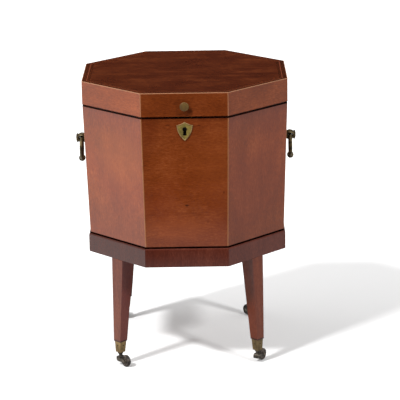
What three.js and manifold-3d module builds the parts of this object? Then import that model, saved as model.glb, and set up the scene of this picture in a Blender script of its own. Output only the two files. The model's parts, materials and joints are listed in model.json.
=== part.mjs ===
// An octagonal cellarette on castors: a lockable chest for bottles, with a hinged lid,
// a divided inside, a ring handle on each side, and a stand on four splayed legs.
// Millimetres, +Z up. The floor is z = 0, the chest's upright axis is x = y = 0,
// the lock faces -Y and the hinges are at +Y.
import * as THREE from 'three';
import { mergeVertices } from 'three/addons/utils/BufferGeometryUtils.js';
import Module from 'manifold-3d';

const wasm = await Module();
wasm.setup();

// Fits
const SEAT = 0.3; // left between pieces that rest on each other or fit into each other
const RUN = 0.35; // round a pin, beside a wheel
const OVERRUN = 6; // how far a cut runs on past the face that it opens

// Chest
const BODY_TOP_ACROSS = 459;
const BODY_TAPER = 9.1; // how far each face comes in from the chest's top to its foot
const BODY_HEIGHT = 298.2;
const BOARD = 14;
const LIP_WIDTH = 7; // the inner strip of each board's top edge, which the lid rests on
const JOINT_GAP = 3.5; // the dark line between chest and lid
const FOOT_REBATE_HEIGHT = 3; // the dark line between chest and stand
const FOOT_REBATE_DEPTH = 4;
const FLOOR_THICKNESS = 10;
const FLOOR_RISE = 8;
const FLOOR_GROOVE = 5;
const DIVISION_THICKNESS = 7;
const DIVISION_HEIGHT = 150;
const DIVISION_SPACING = 139;

// Lid
const LID_PROUD = 0.5; // past the chest's top on every side
const LID_HEIGHT = 53;
const LID_WALL = 14;
const LID_FRAME_WIDTH = 18; // the band round the lid's top, mitred at the corners
const LID_FRAME_THICKNESS = 12;
const PANEL_TONGUE = 3;
const PANEL_TONGUE_THICKNESS = 4;

// Lid knob
const KNOB_RISE = 24; // its centre above the lid's lower edge
const KNOB_DIAMETER = 21;
const KNOB_REACH = 9.5;
const KNOB_HEAD = 4.2;
const KNOB_FOOT_DIAMETER = 12;
const KNOB_FOOT = 1.6;
const KNOB_NECK_DIAMETER = 7;
const KNOB_SHANK_DIAMETER = 4.4;

// Stand
const STAND_PROUD = 3.7; // past the chest's foot on every side
const FRIEZE_HEIGHT = 42.3;
const RAIL = 20;
const OVOLO_HEIGHT = 4.7;
const OVOLO_DEPTH = 3.2;

// Legs
const LEG_LENGTH = 196.3; // frieze to castor cup
const LEG_TOP_SIZE = 34.5;
const LEG_FOOT_SIZE = 21.3;
const LEG_SPLAY = 7.3;
const HAUNCH_SHOULDER = 2.2;

// Castors
const CASTOR_HEIGHT = 30.5; // floor to the cup's underside
const CUP_HEIGHT = 25.9;
const CUP_RIM_SIZE = 18.6;
const CUP_FOOT_SIZE = 15.5;
const CUP_LEAN = 0.9;
const CUP_WALL = 1.1;
const CUP_FLOOR = 2.6;
const SPINDLE_DIAMETER = 5;
const SPINDLE_HEAD_DIAMETER = 8.4;
const SPINDLE_HEAD = 1.8;
const COLLAR_DIAMETER = 12.6;
const COLLAR_HEIGHT = 3.2;
const STEM_DIAMETER = 8.6;
const WHEEL_DIAMETER = 27;
const WHEEL_WIDTH = 9;
const WHEEL_HUB_DIAMETER = 10;
const WHEEL_HUB_PROUD = 0.5;
const WHEEL_DISH = 1.6;
const WHEEL_TREAD = 4;
const WHEEL_TRAIL = 20;
const CHEEK = 2.1;
const HORN_HEEL = 2.4; // behind the stem
const HORN_SHOULDER = 2.4; // the cheeks above the axle's eye, at the stem
const AXLE_EYE_DIAMETER = 9;
const AXLE_DIAMETER = 4;
const RIVET_DIAMETER = 6.6;
const RIVET_HEAD = 0.9;

// Ring handles
const HANDLE_DROP = 96; // pivot below the chest's top edge
const RING_RADIUS = 24;
const RING_THICKNESS = 7.6;
const KNOP_DIAMETER = 15;
const KNOP_LENGTH = 11;
const BOSS_FOOT_DIAMETER = 16;
const BOSS_FOOT = 1.6;
const BOSS_NECK_DIAMETER = 11.2;
const BOSS_BALL_DIAMETER = 23.6;
const BOSS_EYE_OFFSET = 1.4; // the ring's eye outside the ball's middle
const BOSS_GROOVE_DIAMETER = 15.2;
const BOSS_GROOVE = 1;
const BOSS_CAP_DIAMETER = 20.5;
const BOSS_CAP = 2.2;
const BOSS_DOME = 1.6;
const BOSS_SHANK_DIAMETER = 6;
const NUT_DIAMETER = 12;
const NUT_THICKNESS = 4;

// Hinges
const HINGE_LENGTH = 44;
const HINGE_SPREAD = 116; // between the two hinges' middles
const LEAF_WIDTH = 15.5;
const KNUCKLE_DIAMETER = 6.4;
const KNUCKLE_SHARE = 1 / 3; // of the hinge's length, taken by the lid's knuckle
const PIN_DIAMETER = 3;
const PIN_HEAD_DIAMETER = 5.4;
const PIN_HEAD = 0.9;

// Lock
const CASE_WIDTH = 64;
const CASE_HEIGHT = 40;
const CASE_THICKNESS = 10;
const CASE_FROM_FRONT = 11; // the lock's mid plane behind the chest's top front edge
const SELVEDGE_WIDTH = 74;
const SELVEDGE_DEPTH = 12;
const SELVEDGE = 2;
const BOLT_THICKNESS = 2.8;
const BOLT_THROW = 8;
const BOLT_SPINE_TOP = 12; // below the selvedge's top
const BOLT_SPINE = 6;
const BOLT_PRONG_TOP = 3.2;
const BOLT_PRONG = 2.8;
const BOLT_POST = 4;
const BOLT_TALON = 5;
const STAPLE_SPREAD = 28;
const STAPLE_THICKNESS = 3;
const STAPLE_SIDE = 1.5;
const STAPLE_STANDOFF = 0.8; // prong tip to staple when unlocked
const LINK_LENGTH = 46;
const LINK_DEPTH = 10;
const LINK_THICKNESS = 1.6;
const KEY_CHAMBER_DIAMETER = 22;

// Keyhole and its shield-shaped plate
const SHIELD_DROP = 8; // the shield's top point below the chest's top edge
const SHIELD_WIDTH = 36.4;
const SHIELD_HEIGHT = 42.3;
const SHIELD_THICKNESS = 1.5;
const SHIELD_BEVEL = 0.8;
const KEYHOLE_DROP = 24.5; // the round head's centre below the chest's top edge
const KEYHOLE_DIAMETER = 9;
const KEYHOLE_NECK = 5.4;
const KEYHOLE_FOOT = 6.8;
const KEYHOLE_LENGTH = 13.6; // head's centre to the foot

// Counts and angles
const SIDES = 8;
const ROUND = 20;
const SMALL_ROUND = 16;
const CURVE_STEPS = 6;
const HALF_SECTOR = Math.PI / SIDES;
const SECTOR = 2 * HALF_SECTOR;

// Widths across the flats, all from the chest's top
const BODY_FOOT_ACROSS = BODY_TOP_ACROSS - 2 * BODY_TAPER;
const LID_ACROSS = BODY_TOP_ACROSS + 2 * LID_PROUD;
const STAND_ACROSS = BODY_FOOT_ACROSS + 2 * STAND_PROUD;

// Heights, from the floor up
const CUP_BOTTOM_Z = CASTOR_HEIGHT;
const LEG_FOOT_Z = CUP_BOTTOM_Z + CUP_HEIGHT;
const FRIEZE_Z = LEG_FOOT_Z + LEG_LENGTH;
const STAND_TOP_Z = FRIEZE_Z + FRIEZE_HEIGHT;
const BODY_Z = STAND_TOP_Z + SEAT;
const BODY_TOP_Z = BODY_Z + BODY_HEIGHT;
const LID_Z = BODY_TOP_Z + JOINT_GAP;
const LID_TOP_Z = LID_Z + LID_HEIGHT;

// The chest narrows downwards, so a face's distance from the axis goes with its height.
const BODY_SLOPE = BODY_TAPER / BODY_HEIGHT;
const BODY_TILT = Math.atan(BODY_SLOPE);
const bodyFaceAt = (z) => BODY_FOOT_ACROSS / 2 + (z - BODY_Z) * BODY_SLOPE;

const WOOD = { front: 0x8f4a20, pale: 0xa0614a, deep: 0x6d3b2c, lid: 0x7a3620, stand: 0x4f2a1f };
const WOOD_INSIDE = 0x8a5a38;
const BRASS = 0x9a8448;
const OLD_BRASS = 0x5d5236;
const IRON = 0x4a4642;
const TREAD = 0x1c1a18;

const wood = (color) => new THREE.MeshStandardMaterial({ color, roughness: 0.45, metalness: 0 });
const metal = (color) => new THREE.MeshStandardMaterial({ color, roughness: 0.4, metalness: 0.9 });

// One closed skin: shared corners merged, slivers dropped, faces pointing out.
function weld(geometry) {
  const source = geometry.clone();
  for (const name of Object.keys(source.attributes)) {
    if (name !== 'position') source.deleteAttribute(name);
  }
  const merged = mergeVertices(source);
  const at = merged.attributes.position;
  const index = merged.index.array;
  const corners = [new THREE.Vector3(), new THREE.Vector3(), new THREE.Vector3()];
  const kept = [];
  let volume = 0;
  for (let i = 0; i < index.length; i += 3) {
    const [a, b, c] = index.slice(i, i + 3);
    if (a === b || b === c || a === c) continue;
    [a, b, c].forEach((corner, k) => corners[k].fromBufferAttribute(at, corner));
    volume += corners[0].dot(corners[1].cross(corners[2]));
    kept.push(a, b, c);
  }
  if (volume < 0) kept.reverse();
  merged.setIndex(kept);
  return merged;
}

function toSolid(geometry) {
  const skin = weld(geometry);
  const vertProperties = new Float32Array(skin.attributes.position.array);
  const triVerts = new Uint32Array(skin.index.array);
  return new wasm.Manifold(new wasm.Mesh({ numProp: 3, vertProperties, triVerts }));
}

function toGeometry(solid) {
  const mesh = solid.getMesh();
  const geometry = new THREE.BufferGeometry();
  geometry.setAttribute('position', new THREE.Float32BufferAttribute(mesh.vertProperties, 3));
  geometry.setIndex(Array.from(mesh.triVerts));
  return geometry;
}

const join = (first, ...others) =>
  toGeometry(others.reduce((solid, next) => solid.add(toSolid(next)), toSolid(first)));
const cut = (base, ...tools) =>
  toGeometry(tools.reduce((solid, tool) => solid.subtract(toSolid(tool)), toSolid(base)));

function piece(name, geometry, material) {
  const flat = weld(geometry).toNonIndexed();
  flat.computeVertexNormals();
  const mesh = new THREE.Mesh(flat, material);
  mesh.name = name;
  return mesh;
}

function grouped(...children) {
  const group = new THREE.Group();
  group.add(...children);
  return group;
}

// A box from its lowest to its highest corner.
function block(low, high) {
  const size = high.map((value, axis) => value - low[axis]);
  const box = new THREE.BoxGeometry(...size);
  return box.translate(...size.map((value, axis) => low[axis] + value / 2));
}

const outlineOf = (pairs) => pairs.map(([u, v]) => new THREE.Vector2(u, v));

function prism(shape, depth, curveSegments = CURVE_STEPS) {
  return new THREE.ExtrudeGeometry(shape, { depth, bevelEnabled: false, curveSegments });
}

// A round bar along X, Y or Z, centred where it is put.
function bar(axis, diameter, length, segments = SMALL_ROUND) {
  const geometry = new THREE.CylinderGeometry(diameter / 2, diameter / 2, length, segments);
  if (axis === 'x') geometry.rotateZ(Math.PI / 2);
  if (axis === 'z') geometry.rotateX(Math.PI / 2);
  return geometry;
}

// Turned work about Z from [radius, height] pairs.
function turned(pairs, segments = ROUND) {
  return new THREE.LatheGeometry(outlineOf(pairs), segments).rotateX(Math.PI / 2);
}

// An eight-sided ring or panel about Z, from [distance to face, height] pairs.
function octagonal(pairs) {
  const reach = 1 / Math.cos(HALF_SECTOR);
  const profile = outlineOf(pairs.map(([face, z]) => [face * reach, z]));
  return new THREE.LatheGeometry(profile, SIDES, HALF_SECTOR).rotateX(Math.PI / 2);
}

// A solid between two rings of points that follow one outline.
function between(outline, start, end) {
  const count = outline.length;
  const triangles = [];
  for (const face of THREE.ShapeUtils.triangulateShape(outline, [])) {
    const turnedFace = THREE.ShapeUtils.area(face.map((i) => outline[i])) < 0;
    const [a, b, c] = turnedFace ? face.reverse() : face;
    triangles.push(c, b, a, count + a, count + b, count + c);
  }
  for (let i = 0; i < count; i += 1) {
    const next = (i + 1) % count;
    triangles.push(i, next, count + next, i, count + next, count + i);
  }
  const geometry = new THREE.BufferGeometry();
  const positions = [...start, ...end].flat();
  geometry.setAttribute('position', new THREE.Float32BufferAttribute(positions, 3));
  geometry.setIndex(triangles);
  return geometry;
}

// One eighth of an octagonal frame, mitred at both ends. The section is in
// [distance to face, height] pairs and the piece faces +X.
function mitred(section) {
  const outline = outlineOf(section);
  const slack = SEAT / 2 / Math.cos(HALF_SECTOR);
  const half = (face) => face * Math.tan(HALF_SECTOR) - slack;
  const endAt = (side) => section.map(([face, z]) => [face, side * half(face), z]);
  return between(outline, endAt(1), endAt(-1));
}

// A square-sectioned taper through several levels. Each level has a height, the place of
// its outer face along X, and its depth and width.
function tapered(levels) {
  const rings = levels.map(({ z, outer, depth, width }) => [
    [outer, -width / 2, z],
    [outer, width / 2, z],
    [outer - depth, width / 2, z],
    [outer - depth, -width / 2, z],
  ]);
  const triangles = [2, 1, 0, 3, 2, 0];
  for (let level = 1; level < rings.length; level += 1) {
    const low = (level - 1) * 4;
    const high = level * 4;
    for (let i = 0; i < 4; i += 1) {
      const next = (i + 1) % 4;
      triangles.push(low + i, low + next, high + next, low + i, high + next, high + i);
    }
  }
  const top = (rings.length - 1) * 4;
  triangles.push(top, top + 1, top + 2, top, top + 2, top + 3);
  const geometry = new THREE.BufferGeometry();
  geometry.setAttribute('position', new THREE.Float32BufferAttribute(rings.flat(2), 3));
  geometry.setIndex(triangles);
  return geometry;
}

// The eight directions, from the right-hand side round by the back.
const SIDE_NAMES = [
  'right', 'back_right', 'back', 'back_left', 'left', 'front_left', 'front', 'front_right',
];
const sideAngle = (name) => SIDE_NAMES.indexOf(name) * SECTOR;

// A frame on the outside of one side of the chest: X runs along the side to the right,
// Y up the face and Z straight out of it.
function onFace(side, z, ...children) {
  const face = grouped(...children);
  face.position.set(0, -bodyFaceAt(z), z);
  face.rotation.x = Math.PI / 2 + BODY_TILT;
  const turn = grouped(face);
  turn.rotation.z = sideAngle(side) + Math.PI / 2;
  return turn;
}

// The keyhole, as a shape in an upright plane with the round head's centre at 0, 0.
function keyholeShape() {
  const shape = new THREE.Shape();
  const radius = KEYHOLE_DIAMETER / 2;
  const neckAngle = Math.asin(KEYHOLE_NECK / KEYHOLE_DIAMETER);
  shape.moveTo(-KEYHOLE_FOOT / 2, -KEYHOLE_LENGTH);
  shape.lineTo(KEYHOLE_FOOT / 2, -KEYHOLE_LENGTH);
  const start = neckAngle - Math.PI / 2;
  shape.absarc(0, 0, radius, start, Math.PI - start, false);
  shape.closePath();
  return shape;
}

// The keyhole as a cutting bar along Y, from one Y to another.
function keyholeBar(fromY, toY) {
  const geometry = prism(keyholeShape(), toY - fromY, ROUND / 2).rotateX(Math.PI / 2);
  return geometry.translate(0, toY, BODY_TOP_Z - KEYHOLE_DROP);
}

// The lock's middle plane, and its upper face, flush with the chest's top edge
const LOCK_Y = CASE_FROM_FRONT - BODY_TOP_ACROSS / 2;
const FRONT_INSIDE_Y = BOARD - BODY_FOOT_ACROSS / 2 + OVERRUN;
const LOCK_TOP_Z = BODY_TOP_Z;
const LIP_TOP_Z = LID_Z - SEAT;

const HINGE_AXIS_Y = LID_ACROSS / 2 + SEAT + KNUCKLE_DIAMETER / 2;
const HINGE_AXIS_Z = BODY_TOP_Z + JOINT_GAP / 2;
const HINGE_XS = [-HINGE_SPREAD / 2, HINGE_SPREAD / 2];
const HANDLE_Z = BODY_TOP_Z - HANDLE_DROP;
const SHANK_HOLE = BOSS_SHANK_DIAMETER + 2 * SEAT;

// The section of one wall board: outside up from the rebate at its foot, over the lip, down
// the inside past the groove that holds the floor.
function boardSection() {
  const inside = (z) => bodyFaceAt(z) - BOARD;
  const grooveLow = BODY_Z + FLOOR_RISE;
  const grooveHigh = grooveLow + FLOOR_THICKNESS;
  const grooveFace = inside(grooveLow) + FLOOR_GROOVE;
  const rebateTop = BODY_Z + FOOT_REBATE_HEIGHT;
  return [
    [bodyFaceAt(BODY_Z) - FOOT_REBATE_DEPTH, BODY_Z],
    [bodyFaceAt(rebateTop) - FOOT_REBATE_DEPTH, rebateTop],
    [bodyFaceAt(rebateTop), rebateTop],
    [bodyFaceAt(BODY_TOP_Z), BODY_TOP_Z],
    [inside(BODY_TOP_Z) + LIP_WIDTH, BODY_TOP_Z],
    [inside(BODY_TOP_Z) + LIP_WIDTH, LIP_TOP_Z],
    [inside(BODY_TOP_Z), LIP_TOP_Z],
    [inside(grooveHigh), grooveHigh],
    [grooveFace, grooveHigh],
    [grooveFace, grooveLow],
    [inside(grooveLow), grooveLow],
    [inside(BODY_Z), BODY_Z],
  ];
}

// The front board is cut for the lock and its keyhole. It is cut facing -Y.
function frontBoard() {
  const board = mitred(boardSection()).rotateZ(sideAngle('front'));
  const pocket = block(
    [-CASE_WIDTH / 2 - SEAT, LOCK_Y - CASE_THICKNESS / 2 - SEAT, LOCK_TOP_Z - CASE_HEIGHT - SEAT],
    [CASE_WIDTH / 2 + SEAT, FRONT_INSIDE_Y, LIP_TOP_Z + OVERRUN],
  );
  const ledge = block(
    [-SELVEDGE_WIDTH / 2 - SEAT, LOCK_Y - SELVEDGE_DEPTH / 2 - SEAT, LOCK_TOP_Z - SELVEDGE - SEAT],
    [SELVEDGE_WIDTH / 2 + SEAT, FRONT_INSIDE_Y, LIP_TOP_Z + OVERRUN],
  );
  const keyhole = keyholeBar(-BODY_TOP_ACROSS / 2 - OVERRUN, LOCK_Y);
  return cut(board, pocket, ledge, keyhole).rotateZ(-sideAngle('front'));
}

// The back board's lip is cleared for the hinge leaves. It is cut facing +Y.
function backBoard() {
  const board = mitred(boardSection()).rotateZ(sideAngle('back'));
  const half = HINGE_LENGTH / 2 + SEAT;
  const behind = BODY_TOP_ACROSS / 2 + OVERRUN;
  const clearings = HINGE_XS.map((x) =>
    block([x - half, 0, BODY_TOP_Z], [x + half, behind, LIP_TOP_Z + OVERRUN]));
  return cut(board, ...clearings).rotateZ(-sideAngle('back'));
}

// A side board is bored for the handle's shank. It is bored facing +X, square to its face.
function handledBoard() {
  const bore = bar('x', SHANK_HOLE, 2 * BOARD + 2 * OVERRUN);
  bore.rotateY(BODY_TILT).translate(bodyFaceAt(HANDLE_Z), 0, HANDLE_Z);
  return cut(mitred(boardSection()), bore);
}

function chest() {
  const colours = {
    right: WOOD.deep, back_right: WOOD.deep, back: WOOD.front, back_left: WOOD.pale,
    left: WOOD.pale, front_left: WOOD.pale, front: WOOD.front, front_right: WOOD.deep,
  };
  const special = {
    front: frontBoard, back: backBoard, left: handledBoard, right: handledBoard,
  };
  const boards = SIDE_NAMES.map((side) => {
    const geometry = special[side] ? special[side]() : mitred(boardSection());
    const board = piece(`${side}_board`, geometry, wood(colours[side]));
    board.rotation.z = sideAngle(side);
    return board;
  });
  const low = BODY_Z + FLOOR_RISE + SEAT;
  const high = BODY_Z + FLOOR_RISE + FLOOR_THICKNESS - SEAT;
  const edge = bodyFaceAt(BODY_Z + FLOOR_RISE) - BOARD + FLOOR_GROOVE - SEAT;
  const floor = octagonal([[0, low], [edge, low], [edge, high], [0, high]]);
  return grouped(...boards, piece('chest_floor', floor, wood(WOOD_INSIDE)));
}

// The bottle divisions: two boards each way, halved over each other where they cross.
function division(notchesOpenUp) {
  const low = BODY_Z + FLOOR_RISE + FLOOR_THICKNESS;
  const high = low + DIVISION_HEIGHT;
  const middle = (low + high) / 2;
  const halfAt = (z) => bodyFaceAt(z) - BOARD - SEAT;
  const notch = DIVISION_THICKNESS / 2 + SEAT;
  const open = notchesOpenUp ? high : low;
  const bottom = notchesOpenUp ? middle - SEAT / 2 : middle + SEAT / 2;
  const edge = [-DIVISION_SPACING / 2, DIVISION_SPACING / 2].flatMap((x) => [
    [x - notch, open], [x - notch, bottom], [x + notch, bottom], [x + notch, open],
  ]);
  const [lowHalf, highHalf] = [halfAt(low), halfAt(high)];
  const outline = notchesOpenUp
    ? [[-lowHalf, low], [lowHalf, low], [highHalf, high], ...edge.reverse(), [-highHalf, high]]
    : [[-lowHalf, low], ...edge, [lowHalf, low], [highHalf, high], [-highHalf, high]];
  const board = prism(new THREE.Shape(outlineOf(outline)), DIVISION_THICKNESS);
  return board.rotateX(Math.PI / 2).translate(0, DIVISION_THICKNESS / 2, 0);
}

function divisions() {
  const group = new THREE.Group();
  for (const [where, side] of [['front', -1], ['back', 1]]) {
    const board = piece(`${where}_division`, division(true), wood(WOOD_INSIDE));
    board.position.y = side * DIVISION_SPACING / 2;
    group.add(board);
  }
  for (const [where, side] of [['left', -1], ['right', 1]]) {
    const board = piece(`${where}_division`, division(false), wood(WOOD_INSIDE));
    board.position.x = side * DIVISION_SPACING / 2;
    board.rotation.z = Math.PI / 2;
    group.add(board);
  }
  return group;
}

// The lid: a mitred rim and top frame in one, a panel tongued into it, and a turned knob.
function lidRim() {
  const outside = LID_ACROSS / 2;
  const band = outside - LID_FRAME_WIDTH;
  const frameLow = LID_TOP_Z - LID_FRAME_THICKNESS;
  const grooveLow = LID_TOP_Z - (LID_FRAME_THICKNESS + PANEL_TONGUE_THICKNESS) / 2;
  const grooveHigh = grooveLow + PANEL_TONGUE_THICKNESS;
  const ring = octagonal([
    [outside, LID_Z], [outside, LID_TOP_Z], [band, LID_TOP_Z], [band, grooveHigh],
    [band + PANEL_TONGUE, grooveHigh], [band + PANEL_TONGUE, grooveLow], [band, grooveLow],
    [band, frameLow], [outside - LID_WALL, frameLow], [outside - LID_WALL, LID_Z],
    [outside, LID_Z],
  ]);
  const shankHole = bar('y', KNOB_SHANK_DIAMETER + 2 * SEAT, LID_WALL + 2 * OVERRUN);
  shankHole.translate(0, LID_WALL / 2 - outside, LID_Z + KNOB_RISE);
  const linkRecess = block(
    [-LINK_LENGTH / 2 - SEAT, LOCK_Y - LINK_DEPTH / 2 - SEAT, LID_Z - OVERRUN],
    [LINK_LENGTH / 2 + SEAT, LOCK_Y + LINK_DEPTH / 2 + SEAT, LID_Z + LINK_THICKNESS + SEAT],
  );
  return cut(ring, shankHole, linkRecess);
}

function lidPanel() {
  const edge = LID_ACROSS / 2 - LID_FRAME_WIDTH - SEAT;
  const low = LID_TOP_Z - LID_FRAME_THICKNESS;
  const tongueLow = LID_TOP_Z - (LID_FRAME_THICKNESS + PANEL_TONGUE_THICKNESS) / 2 + SEAT;
  const tongueHigh = tongueLow + PANEL_TONGUE_THICKNESS - 2 * SEAT;
  return octagonal([
    [0, low], [edge, low], [edge, tongueLow], [edge + PANEL_TONGUE, tongueLow],
    [edge + PANEL_TONGUE, tongueHigh], [edge, tongueHigh], [edge, LID_TOP_Z], [0, LID_TOP_Z],
  ]);
}

// The knob is turned about Z, its foot on z = 0 and its shank below.
function knob() {
  const rim = KNOB_DIAMETER / 2;
  const headLow = KNOB_REACH - KNOB_HEAD;
  const dome = [0.25, 0.5, 0.75].map((share) => [
    rim * Math.cos(share * Math.PI / 2),
    KNOB_REACH - KNOB_HEAD / 2 + KNOB_HEAD / 2 * Math.sin(share * Math.PI / 2),
  ]);
  return turned([
    [0, -LID_WALL], [KNOB_SHANK_DIAMETER / 2, -LID_WALL], [KNOB_SHANK_DIAMETER / 2, SEAT],
    [KNOB_FOOT_DIAMETER / 2, SEAT], [KNOB_FOOT_DIAMETER / 2, KNOB_FOOT],
    [KNOB_NECK_DIAMETER / 2, KNOB_FOOT + (headLow - KNOB_FOOT) / 3],
    [KNOB_NECK_DIAMETER / 2, headLow - (headLow - KNOB_FOOT) / 3],
    [rim, headLow + KNOB_HEAD / 4], [rim, KNOB_REACH - KNOB_HEAD / 2], ...dome, [0, KNOB_REACH],
  ]);
}

function lid() {
  const lidKnob = piece('lid_knob', knob(), metal(BRASS));
  lidKnob.position.set(0, -LID_ACROSS / 2, LID_Z + KNOB_RISE);
  lidKnob.rotation.x = Math.PI / 2;
  return grouped(
    piece('lid_rim', lidRim(), wood(WOOD.lid)),
    piece('lid_panel', lidPanel(), wood(WOOD.lid)),
    lidKnob,
  );
}

// The lock. Its bolt slides along +X and runs two prongs through the staples on the lid's
// link plate.
const STAPLE_XS = [-STAPLE_SPREAD / 2, STAPLE_SPREAD / 2];
const PRONG_HIGH = LOCK_TOP_Z - BOLT_PRONG_TOP;
const PRONG_LOW = PRONG_HIGH - BOLT_PRONG;
const SPINE_HIGH = LOCK_TOP_Z - BOLT_SPINE_TOP;
const SPINE_LOW = SPINE_HIGH - BOLT_SPINE;
const prongTip = (staple) => staple - STAPLE_THICKNESS / 2 - STAPLE_STANDOFF;
const postRight = (staple) => prongTip(staple) - BOLT_THROW;
const postLeft = (staple) => postRight(staple) - BOLT_POST;
const STAPLE_LOW = PRONG_LOW - RUN - STAPLE_SIDE;
const STAPLE_WIDTH = BOLT_THICKNESS + 2 * RUN + 2 * STAPLE_SIDE;

function lockBolt() {
  const [first, second] = STAPLE_XS;
  const talon = (postRight(first) + postLeft(second)) / 2;
  const outline = [
    [postLeft(first), SPINE_LOW], [talon - BOLT_TALON / 2, SPINE_LOW],
    [talon, SPINE_LOW + BOLT_SPINE / 2], [talon + BOLT_TALON / 2, SPINE_LOW],
    [postRight(second), SPINE_LOW], [postRight(second), PRONG_LOW],
    [prongTip(second), PRONG_LOW], [prongTip(second), PRONG_HIGH],
    [postLeft(second), PRONG_HIGH], [postLeft(second), SPINE_HIGH],
    [postRight(first), SPINE_HIGH], [postRight(first), PRONG_LOW],
    [prongTip(first), PRONG_LOW], [prongTip(first), PRONG_HIGH], [postLeft(first), PRONG_HIGH],
  ];
  const shape = new THREE.Shape(outlineOf(outline));
  const bolt = prism(shape, BOLT_THICKNESS).rotateX(Math.PI / 2);
  return bolt.translate(0, LOCK_Y + BOLT_THICKNESS / 2, 0);
}

function lockCase() {
  const halfWidth = CASE_WIDTH / 2;
  const front = LOCK_Y - CASE_THICKNESS / 2;
  const body = block(
    [-halfWidth, front, LOCK_TOP_Z - CASE_HEIGHT],
    [halfWidth, LOCK_Y + CASE_THICKNESS / 2, LOCK_TOP_Z - SELVEDGE / 2],
  );
  const selvedge = block(
    [-SELVEDGE_WIDTH / 2, LOCK_Y - SELVEDGE_DEPTH / 2, LOCK_TOP_Z - SELVEDGE],
    [SELVEDGE_WIDTH / 2, LOCK_Y + SELVEDGE_DEPTH / 2, LOCK_TOP_Z],
  );
  const room = BOLT_THICKNESS / 2 + SEAT;
  const channel = block(
    [postLeft(STAPLE_XS[0]) - SEAT, LOCK_Y - room, SPINE_LOW - SEAT],
    [prongTip(STAPLE_XS[1]) + BOLT_THROW + SEAT, LOCK_Y + room, PRONG_HIGH + SEAT],
  );
  const slots = STAPLE_XS.map((x) => block(
    [x - STAPLE_THICKNESS / 2 - SEAT, LOCK_Y - STAPLE_WIDTH / 2 - SEAT, STAPLE_LOW - SEAT],
    [x + STAPLE_THICKNESS / 2 + SEAT, LOCK_Y + STAPLE_WIDTH / 2 + SEAT, LOCK_TOP_Z + OVERRUN],
  ));
  const keyhole = keyholeBar(front - OVERRUN, LOCK_Y + room);
  const chamber = bar('y', KEY_CHAMBER_DIAMETER, 2 * room);
  chamber.translate(0, LOCK_Y, BODY_TOP_Z - KEYHOLE_DROP);
  return cut(join(body, selvedge), channel, ...slots, keyhole, chamber);
}

function linkPlate() {
  const plate = block(
    [-LINK_LENGTH / 2, LOCK_Y - LINK_DEPTH / 2, LID_Z],
    [LINK_LENGTH / 2, LOCK_Y + LINK_DEPTH / 2, LID_Z + LINK_THICKNESS],
  );
  const staples = STAPLE_XS.map((x) => block(
    [x - STAPLE_THICKNESS / 2, LOCK_Y - STAPLE_WIDTH / 2, STAPLE_LOW],
    [x + STAPLE_THICKNESS / 2, LOCK_Y + STAPLE_WIDTH / 2, LID_Z + LINK_THICKNESS / 2],
  ));
  const eye = block(
    [-LINK_LENGTH, LOCK_Y - BOLT_THICKNESS / 2 - RUN, PRONG_LOW - RUN],
    [LINK_LENGTH, LOCK_Y + BOLT_THICKNESS / 2 + RUN, PRONG_HIGH + RUN],
  );
  return cut(join(plate, ...staples), eye);
}

// The shield has a raised middle point, hollow shoulders ending in two horns, and full
// sides that meet in a point below.
const SHOULDER_SHARES = { dipX: 0.3, dipY: 0.17, hornY: 0.17, underX: 0.47, underY: 0.27 };
const SIDE_SHARES = { bellyX: 0.42, bellyY: 0.66, lowX: 0.2, lowY: 0.85 };

function shieldShape(inset) {
  const width = SHIELD_WIDTH - 2 * inset;
  const height = SHIELD_HEIGHT - 2 * inset;
  const at = (xShare, yShare) => [width * xShare, -inset - height * yShare];
  const shape = new THREE.Shape();
  const { dipX, dipY, hornY, underX, underY } = SHOULDER_SHARES;
  const { bellyX, bellyY, lowX, lowY } = SIDE_SHARES;
  const halfShare = 1 / 2;
  shape.moveTo(...at(0, 1));
  shape.bezierCurveTo(...at(lowX, lowY), ...at(bellyX, bellyY), ...at(underX, underY));
  shape.lineTo(...at(halfShare, hornY));
  shape.quadraticCurveTo(...at(dipX, dipY), ...at(0, 0));
  shape.quadraticCurveTo(...at(-dipX, dipY), ...at(-halfShare, hornY));
  shape.lineTo(...at(-underX, underY));
  shape.bezierCurveTo(...at(-bellyX, bellyY), ...at(-lowX, lowY), ...at(0, 1));
  return shape;
}

function shield() {
  const points = (inset) => shieldShape(inset).getPoints(CURVE_STEPS).slice(0, -1);
  const outer = points(0);
  const inner = points(SHIELD_BEVEL);
  const ring = (outline, z) => outline.map(({ x, y }) => [x, y, z]);
  const lowPart = between(outer, ring(outer, SEAT), ring(outer, SHIELD_THICKNESS / 2));
  const highPart = between(outer, ring(outer, SHIELD_THICKNESS / 2), ring(inner, SHIELD_THICKNESS));
  const keyhole = prism(keyholeShape(), SHIELD_THICKNESS + 2 * OVERRUN, ROUND / 2);
  keyhole.translate(0, (SHIELD_DROP - KEYHOLE_DROP) / Math.cos(BODY_TILT), -OVERRUN);
  return cut(join(lowPart, highPart), keyhole);
}

function lock() {
  const escutcheon = piece('keyhole_escutcheon', shield(), metal(BRASS));
  return grouped(
    piece('lock_case', lockCase(), metal(IRON)),
    piece('lock_bolt', lockBolt(), metal(BRASS)),
    piece('link_plate', linkPlate(), metal(BRASS)),
    onFace('front', BODY_TOP_Z - SHIELD_DROP, escutcheon),
  );
}

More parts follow.
